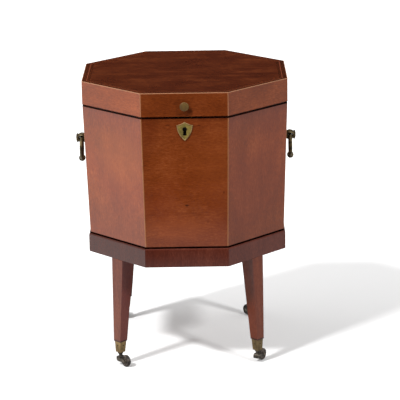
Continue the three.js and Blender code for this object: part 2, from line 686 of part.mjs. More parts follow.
// Butt hinges, drawn about their pin: X along the pin, the leaves towards -Y.
function hingeLeaf(up) {
  const lidKnuckle = HINGE_LENGTH * KNUCKLE_SHARE;
  const side = up ? 1 : -1;
  const near = SEAT / 2;
  const far = JOINT_GAP / 2 - SEAT;
  const zs = [side * near, side * far].sort((a, b) => a - b);
  const plate = block([-HINGE_LENGTH / 2, -LEAF_WIDTH, zs[0]], [HINGE_LENGTH / 2, 0, zs[1]]);
  const clear = KNUCKLE_DIAMETER / 2 + RUN;
  const barrel = (from, to) =>
    bar('x', KNUCKLE_DIAMETER, to - from).translate((from + to) / 2, 0, 0);
  const room = (from, to) => block([from, -clear, -clear], [to, clear, clear]);
  const bore = bar('x', PIN_DIAMETER + 2 * RUN, 2 * HINGE_LENGTH);
  const end = HINGE_LENGTH / 2;
  const step = lidKnuckle / 2;
  if (up) {
    const rooms = [room(-end - OVERRUN, -step), room(step, end + OVERRUN)];
    return cut(join(cut(plate, ...rooms), barrel(-step, step)), bore);
  }
  const gap = step + SEAT;
  const outerPlate = cut(plate, room(-gap, gap));
  return cut(join(outerPlate, barrel(-end, -gap), barrel(gap, end)), bore);
}

// A pin with a low head at each end, about X.
function headedPin(diameter, length, headDiameter, head) {
  const end = length / 2;
  return turned([
    [0, -end - head], [headDiameter / 2, -end - head / 2], [headDiameter / 2, -end],
    [diameter / 2, -end], [diameter / 2, end], [headDiameter / 2, end],
    [headDiameter / 2, end + head / 2], [0, end + head],
  ], SMALL_ROUND).rotateY(Math.PI / 2);
}

function hinges() {
  const pinLength = HINGE_LENGTH + 2 * SEAT;
  const sets = HINGE_XS.map((x) => {
    const side = x < 0 ? 'left' : 'right';
    const pin = headedPin(PIN_DIAMETER, pinLength, PIN_HEAD_DIAMETER, PIN_HEAD);
    const set = grouped(
      piece(`${side}_hinge_chest_leaf`, hingeLeaf(false), metal(BRASS)),
      piece(`${side}_hinge_lid_leaf`, hingeLeaf(true), metal(BRASS)),
      piece(`${side}_hinge_pin`, pin, metal(BRASS)),
    );
    set.position.set(x, HINGE_AXIS_Y, HINGE_AXIS_Z);
    return set;
  });
  return grouped(...sets);
}

// Ring handles. Each boss is turned about Z, straight out of the chest's side: a foot, a ball
// that is bored for the ring, and a cap.
const BALL_RADIUS = BOSS_BALL_DIAMETER / 2;
const BALL_OUT = BOSS_FOOT + Math.sqrt(BALL_RADIUS ** 2 - (BOSS_NECK_DIAMETER / 2) ** 2);
const GROOVE_OUT = BALL_OUT + Math.sqrt(BALL_RADIUS ** 2 - (BOSS_GROOVE_DIAMETER / 2) ** 2);
const CAP_OUT = GROOVE_OUT + BOSS_GROOVE;
const EYE_OUT = BALL_OUT + BOSS_EYE_OFFSET;
const NUT_LOW = -BOARD - SEAT - NUT_THICKNESS;

// The ring curves away inside its eye, whichever way it swings, so the eye is as narrow as the
// ring in the middle and widens with the ring's inner curve towards both ends. It lies along X.
function ringEye() {
  const innerRadius = RING_RADIUS - RING_THICKNESS / 2;
  const radiusAt = (x) => RING_RADIUS + RUN - Math.sqrt(innerRadius ** 2 - x ** 2);
  const along = Array.from({ length: 2 * CURVE_STEPS + 1 }, (_, step) =>
    BALL_RADIUS * (step / CURVE_STEPS - 1));
  const mouth = radiusAt(BALL_RADIUS);
  const end = BALL_RADIUS + OVERRUN;
  return turned([
    [0, -end], [mouth, -end], ...along.map((x) => [radiusAt(x), x]), [mouth, end], [0, end],
  ], SMALL_ROUND).rotateY(Math.PI / 2);
}

function handleBoss() {
  const start = Math.asin((BOSS_FOOT - BALL_OUT) / BALL_RADIUS);
  const finish = Math.asin((GROOVE_OUT - BALL_OUT) / BALL_RADIUS);
  const ball = Array.from({ length: CURVE_STEPS + 1 }, (_, step) => {
    const angle = start + (finish - start) * step / CURVE_STEPS;
    return [BALL_RADIUS * Math.cos(angle), BALL_OUT + BALL_RADIUS * Math.sin(angle)];
  });
  const cap = BOSS_CAP_DIAMETER / 2;
  const capTop = CAP_OUT + BOSS_CAP;
  const boss = turned([
    [0, NUT_LOW - SEAT], [BOSS_SHANK_DIAMETER / 2, NUT_LOW - SEAT],
    [BOSS_SHANK_DIAMETER / 2, SEAT], [BOSS_FOOT_DIAMETER / 2, SEAT],
    [BOSS_FOOT_DIAMETER / 2, BOSS_FOOT], ...ball, [BOSS_GROOVE_DIAMETER / 2, CAP_OUT],
    [cap, CAP_OUT + BOSS_CAP / 4], [cap, capTop], [cap * 2 / 3, capTop + BOSS_DOME * 2 / 3],
    [0, capTop + BOSS_DOME],
  ]);
  return cut(boss, ringEye().translate(0, 0, EYE_OUT));
}

// The ring hangs from 0, 0, 0 in the XZ plane, with a turned knop at its lowest point.
function handleRing() {
  const tube = RING_THICKNESS / 2;
  const ring = new THREE.TorusGeometry(RING_RADIUS, tube, SMALL_ROUND / 2, 2 * SMALL_ROUND);
  ring.rotateX(Math.PI / 2).translate(0, 0, -RING_RADIUS);
  const half = KNOP_LENGTH / 2;
  const full = KNOP_DIAMETER / 2;
  const groove = (tube + full) / 2;
  const knop = turned([
    [0, -half], [groove, -half], [full, -half / 2], [full, -half / 4], [groove, 0],
    [full, half / 4], [full, half / 2], [groove, half], [0, half],
  ], SMALL_ROUND).rotateY(Math.PI / 2).translate(0, 0, -2 * RING_RADIUS);
  return join(ring, knop);
}

function handleNut() {
  const nut = new THREE.CylinderGeometry(NUT_DIAMETER / 2, NUT_DIAMETER / 2, NUT_THICKNESS, 6);
  nut.rotateX(Math.PI / 2).translate(0, 0, NUT_LOW + NUT_THICKNESS / 2);
  return cut(nut, bar('z', SHANK_HOLE, 2 * (BOARD + NUT_THICKNESS + OVERRUN)));
}

function handle(side) {
  const boss = piece(`${side}_handle_boss`, handleBoss(), metal(OLD_BRASS));
  const nut = piece(`${side}_handle_nut`, handleNut(), metal(OLD_BRASS));
  const ring = piece(`${side}_handle_ring`, handleRing(), metal(OLD_BRASS));
  const out = bodyFaceAt(HANDLE_Z) + EYE_OUT * Math.cos(BODY_TILT);
  ring.position.set(0, -out, HANDLE_Z - EYE_OUT * Math.sin(BODY_TILT));
  const hung = grouped(ring);
  hung.rotation.z = sideAngle(side) + Math.PI / 2;
  return grouped(onFace(side, HANDLE_Z, boss, nut), hung);
}

// The stand: eight mitred rails with a rounded top edge, and a leg under each slanting rail.
function railSection() {
  const outside = STAND_ACROSS / 2;
  const round = Array.from({ length: CURVE_STEPS + 1 }, (_, step) => {
    const angle = (step / CURVE_STEPS) * (Math.PI / 2);
    return [
      outside - OVOLO_DEPTH * (1 - Math.cos(angle)),
      STAND_TOP_Z - OVOLO_HEIGHT * (1 - Math.sin(angle)),
    ];
  });
  return [[outside, FRIEZE_Z], ...round, [outside - RAIL, STAND_TOP_Z], [outside - RAIL, FRIEZE_Z]];
}

const FOOT_OUTER = STAND_ACROSS / 2 + LEG_SPLAY;
const FOOT_CENTRE = FOOT_OUTER - LEG_FOOT_SIZE / 2;
const SPIGOT_SIZE = CUP_RIM_SIZE - 2 * CUP_WALL - 2 * SEAT;
const SPIGOT_FOOT_SIZE = CUP_FOOT_SIZE - 2 * CUP_WALL - 2 * SEAT;
const SPIGOT_FOOT_Z = CUP_BOTTOM_Z + CUP_FLOOR + SPINDLE_HEAD + 2 * SEAT;
// How far down the cup a height lies, from 0 at its rim to 1 at its underside
const cupShareAt = (z) => (LEG_FOOT_Z - z) / CUP_HEIGHT;
const cupCentreAt = (z) => FOOT_CENTRE + CUP_LEAN * cupShareAt(z);
const taperAt = (z, rim, foot) => rim + (foot - rim) * cupShareAt(z);

// A leg tapers on all four sides and splays outwards. Its haunch stands up behind the rail,
// and its spigot fits the castor's cup.
function leg() {
  const outside = STAND_ACROSS / 2;
  const top = FRIEZE_Z - SEAT;
  const spigotFoot = taperAt(SPIGOT_FOOT_Z, SPIGOT_SIZE, SPIGOT_FOOT_SIZE);
  const shoulder = LEG_FOOT_Z + SEAT;
  const square = (z, centre, size) => ({ z, outer: centre + size / 2, depth: size, width: size });
  const haunch = {
    outer: outside - RAIL - SEAT,
    depth: LEG_TOP_SIZE - RAIL - SEAT - HAUNCH_SHOULDER,
    width: LEG_TOP_SIZE - 2 * HAUNCH_SHOULDER,
  };
  return tapered([
    square(SPIGOT_FOOT_Z, cupCentreAt(SPIGOT_FOOT_Z), spigotFoot),
    square(shoulder, FOOT_CENTRE, SPIGOT_SIZE),
    square(shoulder, FOOT_CENTRE, LEG_FOOT_SIZE),
    square(top, outside - LEG_TOP_SIZE / 2, LEG_TOP_SIZE),
    { z: top, ...haunch },
    { z: STAND_TOP_Z, ...haunch },
  ]);
}

function stand() {
  const rails = SIDE_NAMES.map((side) => {
    const rail = piece(`${side}_rail`, mitred(railSection()), wood(WOOD.stand));
    rail.rotation.z = sideAngle(side);
    return rail;
  });
  return grouped(...rails);
}

// A castor's cup: a square tapered socket, bored below for the spindle.
function castorCup() {
  const level = (z, size) => ({ z, outer: cupCentreAt(z) + size / 2, depth: size, width: size });
  const outerAt = (z) => taperAt(z, CUP_RIM_SIZE, CUP_FOOT_SIZE);
  const shell = tapered([
    level(CUP_BOTTOM_Z, outerAt(CUP_BOTTOM_Z)), level(LEG_FOOT_Z, outerAt(LEG_FOOT_Z)),
  ]);
  const innerAt = (z) => outerAt(z) - 2 * CUP_WALL;
  const floorZ = CUP_BOTTOM_Z + CUP_FLOOR;
  const openZ = LEG_FOOT_Z + OVERRUN;
  const hollow = tapered([level(floorZ, innerAt(floorZ)), level(openZ, innerAt(openZ))]);
  const bore = bar('z', SPINDLE_DIAMETER + 2 * RUN, 2 * (CUP_FLOOR + OVERRUN));
  bore.translate(PIVOT_OUT, 0, CUP_BOTTOM_Z);
  return cut(shell, hollow, bore);
}

const PIVOT_OUT = FOOT_CENTRE + CUP_LEAN;
const AXLE_Z = WHEEL_DIAMETER / 2;
const COLLAR_HIGH = CUP_BOTTOM_Z - SEAT;
const COLLAR_LOW = COLLAR_HIGH - COLLAR_HEIGHT;
const FORK_GAP = WHEEL_WIDTH + 2 * WHEEL_HUB_PROUD + 2 * RUN;
const FORK_WIDTH = FORK_GAP + 2 * CHEEK;

// A castor's horn, about its spindle, with the wheel towards +X: a collar and a round stem over
// two cheeks, whose side view is one outline with the wheel's room cleared out of its middle.
function castorHorn() {
  const stem = STEM_DIAMETER / 2;
  const eye = AXLE_EYE_DIAMETER / 2;
  const back = -stem - HORN_HEEL;
  const low = AXLE_Z - eye;
  const high = AXLE_Z + eye + HORN_SHOULDER;
  const shape = new THREE.Shape();
  shape.moveTo(-stem, high);
  shape.quadraticCurveTo(back, high, back, AXLE_Z);
  shape.quadraticCurveTo(back, low, 0, low);
  shape.lineTo(WHEEL_TRAIL, low);
  shape.absarc(WHEEL_TRAIL, AXLE_Z, eye, -Math.PI / 2, Math.PI / 2, false);
  shape.quadraticCurveTo(WHEEL_TRAIL / 2, AXLE_Z + eye, stem, high);
  shape.closePath();
  const cheeks = prism(shape, FORK_WIDTH).rotateX(Math.PI / 2).translate(0, FORK_WIDTH / 2, 0);
  const room = bar('y', WHEEL_DIAMETER + 4 * RUN, FORK_GAP, 2 * SMALL_ROUND);
  room.translate(WHEEL_TRAIL, 0, AXLE_Z);
  const headLow = CUP_BOTTOM_Z + CUP_FLOOR + SEAT;
  const spindle = turned([
    [0, AXLE_Z], [stem, AXLE_Z], [stem, COLLAR_LOW], [COLLAR_DIAMETER / 2, COLLAR_LOW],
    [COLLAR_DIAMETER / 2, COLLAR_HIGH], [SPINDLE_DIAMETER / 2, COLLAR_HIGH],
    [SPINDLE_DIAMETER / 2, headLow], [SPINDLE_HEAD_DIAMETER / 2, headLow],
    [SPINDLE_HEAD_DIAMETER / 2, headLow + SPINDLE_HEAD / 2], [0, headLow + SPINDLE_HEAD],
  ], SMALL_ROUND);
  const axleHole = bar('y', AXLE_DIAMETER + 2 * SEAT, FORK_WIDTH + 2 * OVERRUN);
  axleHole.translate(WHEEL_TRAIL, 0, AXLE_Z);
  return cut(join(cut(cheeks, room), spindle), axleHole);
}

// A castor's wheel, about Y: a rounded tread, dished sides and a hub that stands proud.
function castorWheel() {
  const half = WHEEL_WIDTH / 2;
  const outer = WHEEL_DIAMETER / 2;
  const hub = WHEEL_HUB_DIAMETER / 2;
  const bore = AXLE_DIAMETER / 2 + RUN;
  const round = half / 2;
  const side = (sign) => [
    [bore, sign * (half + WHEEL_HUB_PROUD)], [hub, sign * (half + WHEEL_HUB_PROUD)],
    [hub, sign * (half - WHEEL_DISH)], [outer - WHEEL_TREAD, sign * (half - WHEEL_DISH)],
    [outer - WHEEL_TREAD, sign * half], [outer - round, sign * half], [outer, sign * round],
  ];
  const profile = [...side(-1), ...side(1).reverse(), side(-1)[0]];
  return turned(profile, ROUND).rotateX(Math.PI / 2);
}

// Where each leg stands, and which way its castor happens to trail
const CASTOR_TURNS = { front_left: -50, front_right: 58, back_right: 135, back_left: 100 };

function legAndCastor(corner) {
  const swivel = grouped(
    piece(`${corner}_castor_horn`, castorHorn(), metal(OLD_BRASS)),
    piece(`${corner}_castor_wheel`, castorWheel(), metal(TREAD)),
    piece(`${corner}_castor_axle`, headedPin(AXLE_DIAMETER, FORK_WIDTH + 2 * SEAT, RIVET_DIAMETER,
      RIVET_HEAD).rotateZ(Math.PI / 2), metal(OLD_BRASS)),
  );
  const [, wheel, axle] = swivel.children;
  wheel.position.set(WHEEL_TRAIL, 0, AXLE_Z);
  axle.position.set(WHEEL_TRAIL, 0, AXLE_Z);
  swivel.position.x = PIVOT_OUT;
  swivel.rotation.z = THREE.MathUtils.degToRad(CASTOR_TURNS[corner]) - sideAngle(corner);
  const group = grouped(
    piece(`${corner}_leg`, leg(), wood(WOOD.pale)),
    piece(`${corner}_castor_cup`, castorCup(), metal(BRASS)),
    swivel,
  );
  group.rotation.z = sideAngle(corner);
  return group;
}

const cellarette = grouped(
  chest(),
  divisions(),
  lid(),
  lock(),
  hinges(),
  handle('left'),
  handle('right'),
  stand(),
  ...Object.keys(CASTOR_TURNS).map(legAndCastor),
);

export default cellarette;
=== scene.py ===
# %% [markdown]
# # An octagonal cellarette on castors
# A cellarette is a lockable chest for bottles. This one is a mahogany octagon with a hinged
# lid, on a low stand with four splayed legs and brass castors. The solids come ready made, in
# metres, and stay where they are. This lesson gives them wood, inlay and metal, adds the small
# fastenings, and lights them as a plain studio would.

import json
import math

import bmesh
import bpy
from mathutils import Matrix, Vector


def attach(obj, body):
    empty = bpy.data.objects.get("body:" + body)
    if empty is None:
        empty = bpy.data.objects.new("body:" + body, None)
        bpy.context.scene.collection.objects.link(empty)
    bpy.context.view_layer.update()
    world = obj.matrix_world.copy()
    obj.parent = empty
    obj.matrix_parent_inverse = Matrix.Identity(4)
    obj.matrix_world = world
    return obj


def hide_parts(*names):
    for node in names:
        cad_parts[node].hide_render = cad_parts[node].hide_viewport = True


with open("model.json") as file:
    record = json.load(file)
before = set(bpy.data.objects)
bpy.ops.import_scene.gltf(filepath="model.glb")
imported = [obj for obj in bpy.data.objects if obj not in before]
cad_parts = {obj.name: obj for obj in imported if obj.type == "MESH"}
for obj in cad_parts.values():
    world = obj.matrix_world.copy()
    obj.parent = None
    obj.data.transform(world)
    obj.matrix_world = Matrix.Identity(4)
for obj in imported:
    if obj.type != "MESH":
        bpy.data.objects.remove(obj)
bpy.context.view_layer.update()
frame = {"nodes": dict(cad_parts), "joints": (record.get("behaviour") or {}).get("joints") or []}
solids = frame["nodes"]

# %% [markdown]
# ## The camera
# The photograph was taken with a long lens from a little above the lid. A long lens keeps the
# uprights nearly parallel, so the camera stands more than four metres away. Aiming a camera at
# a point leaves no say over how it tilts, so its three angles are set one by one. They were
# fitted to the corners of the lid, the chest and the stand.

# %% Set up the camera
CAMERA_AT = Vector((0.0445, -4.268, 1.564))
CAMERA_LENS, SENSOR_WIDTH = 172.1, 36
LOOKS_DOWN, LOOKS_RIGHT, LEANS = 15.963, -0.194, -0.936

pitch, yaw, roll = (math.radians(angle) for angle in (LOOKS_DOWN, LOOKS_RIGHT, LEANS))
ahead = Vector((math.sin(yaw) * math.cos(pitch), math.cos(yaw) * math.cos(pitch), -math.sin(pitch)))
level = Vector((math.cos(yaw), -math.sin(yaw), 0))
over = level.cross(ahead)
across = level * math.cos(roll) + over * math.sin(roll)
upward = over * math.cos(roll) - level * math.sin(roll)
camera = bpy.data.objects.new("camera", bpy.data.cameras.new("camera"))
camera.data.sensor_width = SENSOR_WIDTH
camera.data.lens = CAMERA_LENS
camera_axes = Matrix((across, upward, -ahead)).transposed().to_4x4()
camera.matrix_world = Matrix.Translation(CAMERA_AT) @ camera_axes
bpy.context.scene.collection.objects.link(camera)
bpy.context.scene.camera = camera
bpy.context.scene.view_settings.view_transform = "Standard"
print("camera looks down by", round(math.degrees(pitch), 2), "degrees")

# %% [markdown]
# ## A short way to write nodes
# A material is a chain of small nodes. Written out in full, each one takes four lines, so a few
# helpers shorten them: one makes any shader node and fills its sockets, others do sums, fade
# between two values, and mix colours. Colours are written as they look on a screen and turned
# into the linear values that nodes need.

# %% Helpers for nodes
def fill(tree, socket, value):
    if isinstance(value, bpy.types.NodeSocket):
        tree.links.new(value, socket)
    else:
        socket.default_value = value


def node(tree, kind, inputs=None, output=0, **settings):
    made = tree.nodes.new("ShaderNode" + kind)
    for name, value in settings.items():
        setattr(made, name, value)
    for socket, value in (inputs or {}).items():
        fill(tree, made.inputs[socket], value)
    return made.outputs[output]


def sums(tree, operation, *values):
    return node(tree, "Math", dict(enumerate(values)), operation=operation)


def both(tree, first, second):
    return sums(tree, "MULTIPLY", first, second)


def eased(tree, value, low, high, start=0.0, end=1.0):
    ends = {"Value": value, 1: low, 2: high, 3: start, 4: end}
    return node(tree, "MapRange", ends, interpolation_type="SMOOTHSTEP")


print("node helpers ready")

# %% Helpers for colour
def linear(hex_colour):
    parts = [int(hex_colour[i:i + 2], 16) / 255 for i in (0, 2, 4)]
    return [c / 12.92 if c <= 0.04045 else ((c + 0.055) / 1.055) ** 2.4 for c in parts] + [1]


def mixed(tree, share, first, second):
    return node(tree, "Mix", {0: share, 6: first, 7: second}, 2, data_type="RGBA")


def ramp(tree, value, stops):
    made = node(tree, "ValToRGB", {0: value})
    elements = made.node.color_ramp.elements
    while len(elements) < len(stops):
        elements.new(0.5)
    for element, (place, colour) in zip(elements, stops):
        element.position = place
        element.color = linear(colour)
    return made


def new_material(name):
    material = bpy.data.materials.new(name)
    material.use_nodes = True
    return material, material.node_tree, material.node_tree.nodes["Principled BSDF"]


print("screen grey 808080 is", round(linear("808080")[0], 3), "in linear light")

# %% [markdown]
# ## Light
# Two shadows of every leg cross on the floor, so the studio has two lamps: a strong one at the
# front left and a weaker, lower one at the front right. Area lamps would do, but sun lamps
# light the whole height of the object evenly, as large far lamps do. The walls glow softly, for
# the polish to mirror. Where they would put glare on the lid, mirrored rays see them dimmer.

# %% Hang the lamps
def lamp(name, strength, from_left, height, softness):
    light = bpy.data.lights.new(name, "SUN")
    light.energy = strength * math.pi
    light.angle = math.radians(softness)
    sun = bpy.data.objects.new(name, light)
    side, rise = math.radians(from_left), math.radians(height)
    to_sun = Vector((-math.sin(side) * math.cos(rise), -math.cos(side) * math.cos(rise),
                     math.sin(rise)))
    sun.rotation_euler = to_sun.to_track_quat("Z", "Y").to_euler()
    bpy.context.scene.collection.objects.link(sun)
    print(name, "shines from", [round(part, 2) for part in to_sun])


lamp("main_lamp", strength=0.86, from_left=47.5, height=49, softness=7)
lamp("second_lamp", strength=0.42, from_left=-44, height=41, softness=7)

# %% Paint the room
LEFT_GLOW, RIGHT_GLOW, CEILING_GLOW, CORNER_GLOW = 1.8, 0.85, 0.50, 0.02
GLARE_CUT = 0.65
WHITE = (1, 1, 1, 1)

world = bpy.data.worlds.new("studio")
bpy.context.scene.world = world
world.use_nodes = True
room = world.node_tree
toward = node(room, "SeparateXYZ", {0: node(room, "TexCoord")}).node.outputs
leftward = both(room, toward[0], -1.0)
ceiling = eased(room, toward[2], 0.45, 1.0, 0.0, CEILING_GLOW)
left_wall = eased(room, leftward, 0.25, 0.95, 0.0, LEFT_GLOW)
right_wall = eased(room, toward[0], 0.25, 0.95, 0.0, RIGHT_GLOW)
walls = sums(room, "ADD", left_wall, right_wall)
to_camera = node(room, "LightPath")
upper = eased(room, toward[2], 0.04, 0.30, 0.0, GLARE_CUT)
dimming = both(room, to_camera.node.outputs["Is Glossy Ray"], upper)
walls = both(room, walls, sums(room, "SUBTRACT", 1.0, dimming))
glow = sums(room, "ADD", sums(room, "ADD", ceiling, walls), CORNER_GLOW)
grey = node(room, "CombineColor", {0: glow, 1: glow, 2: glow})
room.links.new(mixed(room, to_camera, grey, WHITE), room.nodes["Background"].inputs[0])
world.cycles.sampling_method = "NONE"
print("the room is white to the camera and dim behind it")

# %% [markdown]
# ## Floor
# The object stands on a sweep of white paper, which the lamps overexpose everywhere but in the
# shadows. Only the foot of the polished front face mirrors it, and the rest stays deep in
# colour, so the paper that gleams for mirrored rays ends about a metre in front. At the sides it
# runs on, and shines in the slanting faces. A real sheet of paper would gleam all round, so the
# floor's material is mixed by the kind of ray that meets it.

# %% Lay the floor
FLOOR_REACH, FLOOR_SQUARES = 14.0, 8
sheet = bmesh.new()
bmesh.ops.create_grid(sheet, x_segments=FLOOR_SQUARES, y_segments=FLOOR_SQUARES, size=FLOOR_REACH)
floor_mesh = bpy.data.meshes.new("floor")
sheet.to_mesh(floor_mesh)
sheet.free()
floor = bpy.data.objects.new("floor", floor_mesh)
bpy.context.scene.collection.objects.link(floor)
print("floor reaches", FLOOR_REACH, "m")

# %% Make the paper
PAPER_SEEN, PAPER_BOUNCE = (0.90, 0.90, 0.90, 1), (0.5, 0.5, 0.5, 1)
GLEAM_FROM_LEFT, GLEAM_ELSEWHERE, GLEAM_IN_SHADOW = 1.45, 0.66, 0.75
UNDER_OBJECT = (0, 0.06, 0)

paper, tree, unused = new_material("paper")
tree.nodes.remove(unused)
floor_place = node(tree, "TexCoord", output=3)
spot = node(tree, "SeparateXYZ", {0: floor_place}).node.outputs
# For mirrored rays the paper is a glow, not a lit surface: it ends in front, is brighter on the
# left, and is dimmer under the object as a painted shadow.
in_front = eased(tree, spot[1], -1.21, -1.08)
from_left = eased(tree, spot[0], -0.38, -0.18, GLEAM_FROM_LEFT, GLEAM_ELSEWHERE)
below = node(tree, "VectorMath", {0: floor_place, 1: UNDER_OBJECT}, 1, operation="DISTANCE")
shaded = eased(tree, below, 0.22, 0.42, GLEAM_IN_SHADOW, 1.0)
gleam = both(tree, both(tree, in_front, from_left), shaded)
# For the camera the paper also glows a little, more towards the back: painted light that lifts the
# shadows there.
back_glow = eased(tree, spot[1], -0.3, 0.3, 0.03, 0.09)
rays = node(tree, "LightPath").node.outputs
plain = node(tree, "BsdfDiffuse", {0: PAPER_BOUNCE})
gleaming = node(tree, "Emission", {0: WHITE, 1: gleam})
lifted = node(tree, "AddShader", {0: node(tree, "BsdfDiffuse", {0: PAPER_SEEN}),
                                  1: node(tree, "Emission", {0: WHITE, 1: back_glow})})
others = node(tree, "MixShader", {0: rays["Is Glossy Ray"], 1: plain, 2: gleaming})
paper_mix = node(tree, "MixShader", {0: rays["Is Camera Ray"], 1: others, 2: lifted})
tree.links.new(paper_mix, tree.nodes["Material Output"].inputs[0])
floor.data.materials.append(paper)
print("paper gleams from", GLEAM_ELSEWHERE, "to", GLEAM_FROM_LEFT)

# %% [markdown]
# ## Mahogany
# Old mahogany has fine fibres, short dark pores that follow the grain, soft bands, and here a
# ripple of fine flecks. All of it is noise, squeezed along the grain by different amounts, so
# the wood is solid and needs no unwrapping. One recipe serves every board: only the colours,
# the grain's direction and the polish change.

# %% Face coordinates for an octagon
EIGHTH = math.pi / 4


def face_coordinates(tree):
    place = node(tree, "SeparateXYZ", {0: node(tree, "TexCoord", output=3)}).node
    x, y, z = place.outputs
    side = sums(tree, "ROUND", sums(tree, "DIVIDE", sums(tree, "ARCTAN2", y, x), EIGHTH))
    angle = both(tree, side, EIGHTH)
    cosine, sine = sums(tree, "COSINE", angle), sums(tree, "SINE", angle)
    outward = sums(tree, "ADD", both(tree, x, cosine), both(tree, y, sine))
    sideways = sums(tree, "SUBTRACT", both(tree, y, cosine), both(tree, x, sine))
    return sideways, outward, z, side


print("the octagon turns by", math.degrees(EIGHTH), "degrees a side")

# %% Squeezed noise and fine relief
MM = 0.001
RELIEF_STRENGTH, RELIEF_HEIGHT = 0.12, 0.2 * MM


def squeezed_noise(tree, place, scales, detail, rough=0.55, bend=0.0):
    stretched = node(tree, "VectorMath", {0: place, 1: scales}, operation="MULTIPLY")
    settings = {"Vector": stretched, "Scale": 1.0, "Detail": detail, "Roughness": rough,
                "Distortion": bend}
    return node(tree, "TexNoise", settings)


def emboss(tree, shader, height):
    relief = {"Strength": RELIEF_STRENGTH, "Distance": RELIEF_HEIGHT, "Height": height}
    tree.links.new(node(tree, "Bump", relief), shader.inputs["Normal"])


print("relief is", RELIEF_HEIGHT / MM, "mm deep")

# %% The mahogany recipe
# How often each figure repeats in a metre, along the grain and twice across it
BANDS, FLECKS, CLOUDS = (5, 60, 60), (130, 330, 330), (13, 16, 16)
FIBRES, PORES = (60, 900, 900), (150, 1600, 1600)
FLECK_SHARE, CLOUD_SHARE, FIBRE_SHARE = 0.34, 0.42, 0.24
DARK_AT, MIDDLE_AT, LIGHT_AT = 0.26, 0.50, 0.74
PORE_COLOUR, PORE_SHARE = "1c0a06", 0.35


def mahogany(tree, shader, grain, tones, gloss=(0.12, 0.20), shine=0.5, streak=0.12):
    bands = squeezed_noise(tree, grain, BANDS, 4, 0.6, 0.5)
    flecks = squeezed_noise(tree, grain, FLECKS, 3, 0.7, 0.2)
    cloud = squeezed_noise(tree, grain, CLOUDS, 4, 0.6)
    fibre = squeezed_noise(tree, grain, FIBRES, 3)
    pores = eased(tree, squeezed_noise(tree, grain, PORES, 1), 0.60, 0.70)
    tone = both(tree, bands, streak)
    tone = sums(tree, "MULTIPLY_ADD", flecks, FLECK_SHARE, tone)
    tone = sums(tree, "MULTIPLY_ADD", cloud, CLOUD_SHARE - streak, tone)
    tone = sums(tree, "MULTIPLY_ADD", fibre, FIBRE_SHARE, tone)
    wood = ramp(tree, tone, list(zip((DARK_AT, MIDDLE_AT, LIGHT_AT), tones)))
    wood = mixed(tree, both(tree, pores, PORE_SHARE), wood, linear(PORE_COLOUR))
    emboss(tree, shader, sums(tree, "SUBTRACT", both(tree, fibre, 0.5), pores))
    tree.links.new(eased(tree, cloud, 0.2, 0.8, *gloss), shader.inputs["Roughness"])
    shader.inputs["Specular IOR Level"].default_value = shine
    return wood


print("mahogany is", FLECK_SHARE, "fleck and", FIBRE_SHARE, "fibre")

# %% Run the grain along a board
NEXT_BOARD = (3.7, 1.3, 1.0)


def grain_along(tree, first, second, third, shift=None):
    place = node(tree, "CombineXYZ", {0: first, 1: second, 2: third})
    if shift is None:
        return place
    apart = node(tree, "CombineXYZ", {axis: both(tree, shift, step)
                                      for axis, step in enumerate(NEXT_BOARD)})
    return node(tree, "VectorMath", {0: place, 1: apart}, operation="ADD")


def grain_by(tree, share, first, second):
    return node(tree, "Mix", {0: share, 4: first, 5: second}, 1, data_type="VECTOR")


print("each board is cut", NEXT_BOARD, "m further into the wood than the last")

# %% [markdown]
# ## Stringing, stains and painted shade
# Thin lines of pale wood are let in along every corner of the chest and the lid, and round the
# lid's top edge. They are flush and a little over a millimetre wide. As separate strips they
# would either flicker with the wood or stand proud, so they are drawn by distance from the
# edge. The same distances paint shade on the edges that meet where the lid shuts, standing in
# for the dark of the gap. Stains and painted shadows are soft ellipses on a face, because a
# blot has no edge that would be worth a mesh.

# %% Sizes of the case
CHEST_FOOT_FACE = 220.4 * MM
CHEST_FOOT_Z = 295.3 * MM
CHEST_TOP_Z = 593.5 * MM
CHEST_SLOPE = 9.1 / 298.2
LID_FACE = 230.0 * MM
LID_FOOT = 597.0 * MM
LID_TOP = 650.0 * MM
BAND_WIDTH = 18.0 * MM
FRONT = -2
print("lid", round(2 * LID_FACE / MM), "mm across,", round((LID_TOP - LID_FOOT) / MM), "mm high")

# %% Draw lines by distance
HALF_SIDE = math.tan(EIGHTH / 2)
STRING_WIDTH = 1.3 * MM
LINE_BLUR = 0.15 * MM
GLUE_WIDTH, GLUE_SHARE, GLUE = 0.5 * MM, 0.5, "2a0e06"
# Near-black for the painted shade of the lid's joint, and for the dark seam round the panel
SHADE_AND_GRIME = linear("1c0906")


def line_mask(tree, distance, width):
    return eased(tree, distance, width + LINE_BLUR, width - LINE_BLUR)


def corner_distance(tree, sideways, face):
    return sums(tree, "SUBTRACT", both(tree, face, HALF_SIDE), sums(tree, "ABSOLUTE", sideways))


def strung(tree, wood, distance, where, colour):
    glue = both(tree, line_mask(tree, distance, STRING_WIDTH + GLUE_WIDTH), where)
    wood = mixed(tree, both(tree, glue, GLUE_SHARE), wood, linear(GLUE))
    line = both(tree, line_mask(tree, distance, STRING_WIDTH), where)
    return mixed(tree, line, wood, linear(colour))


print("stringing is", round(STRING_WIDTH / MM, 1), "mm wide")

# %% Draw soft stains and painted shadows
DARK_STAIN_AND_SHADOW = "220b05"


def stain_and_shadow(tree, wood, place, centre, half, strength, colour=DARK_STAIN_AND_SHADOW):
    away = node(tree, "VectorMath", {0: place, 1: (centre[0] * MM, centre[1] * MM, 0)},
                operation="SUBTRACT")
    scaled = node(tree, "VectorMath", {0: away, 1: (1 / half[0] / MM, 1 / half[1] / MM, 0)},
                  operation="MULTIPLY")
    distance = node(tree, "VectorMath", {0: scaled}, 1, operation="LENGTH")
    return mixed(tree, eased(tree, distance, 1.3, 0.3, 0.0, strength), wood, linear(colour))


def is_side(tree, side, number):
    return sums(tree, "COMPARE", side, number, 0.1)


print("a stain fades out at 1.3 times its half size")

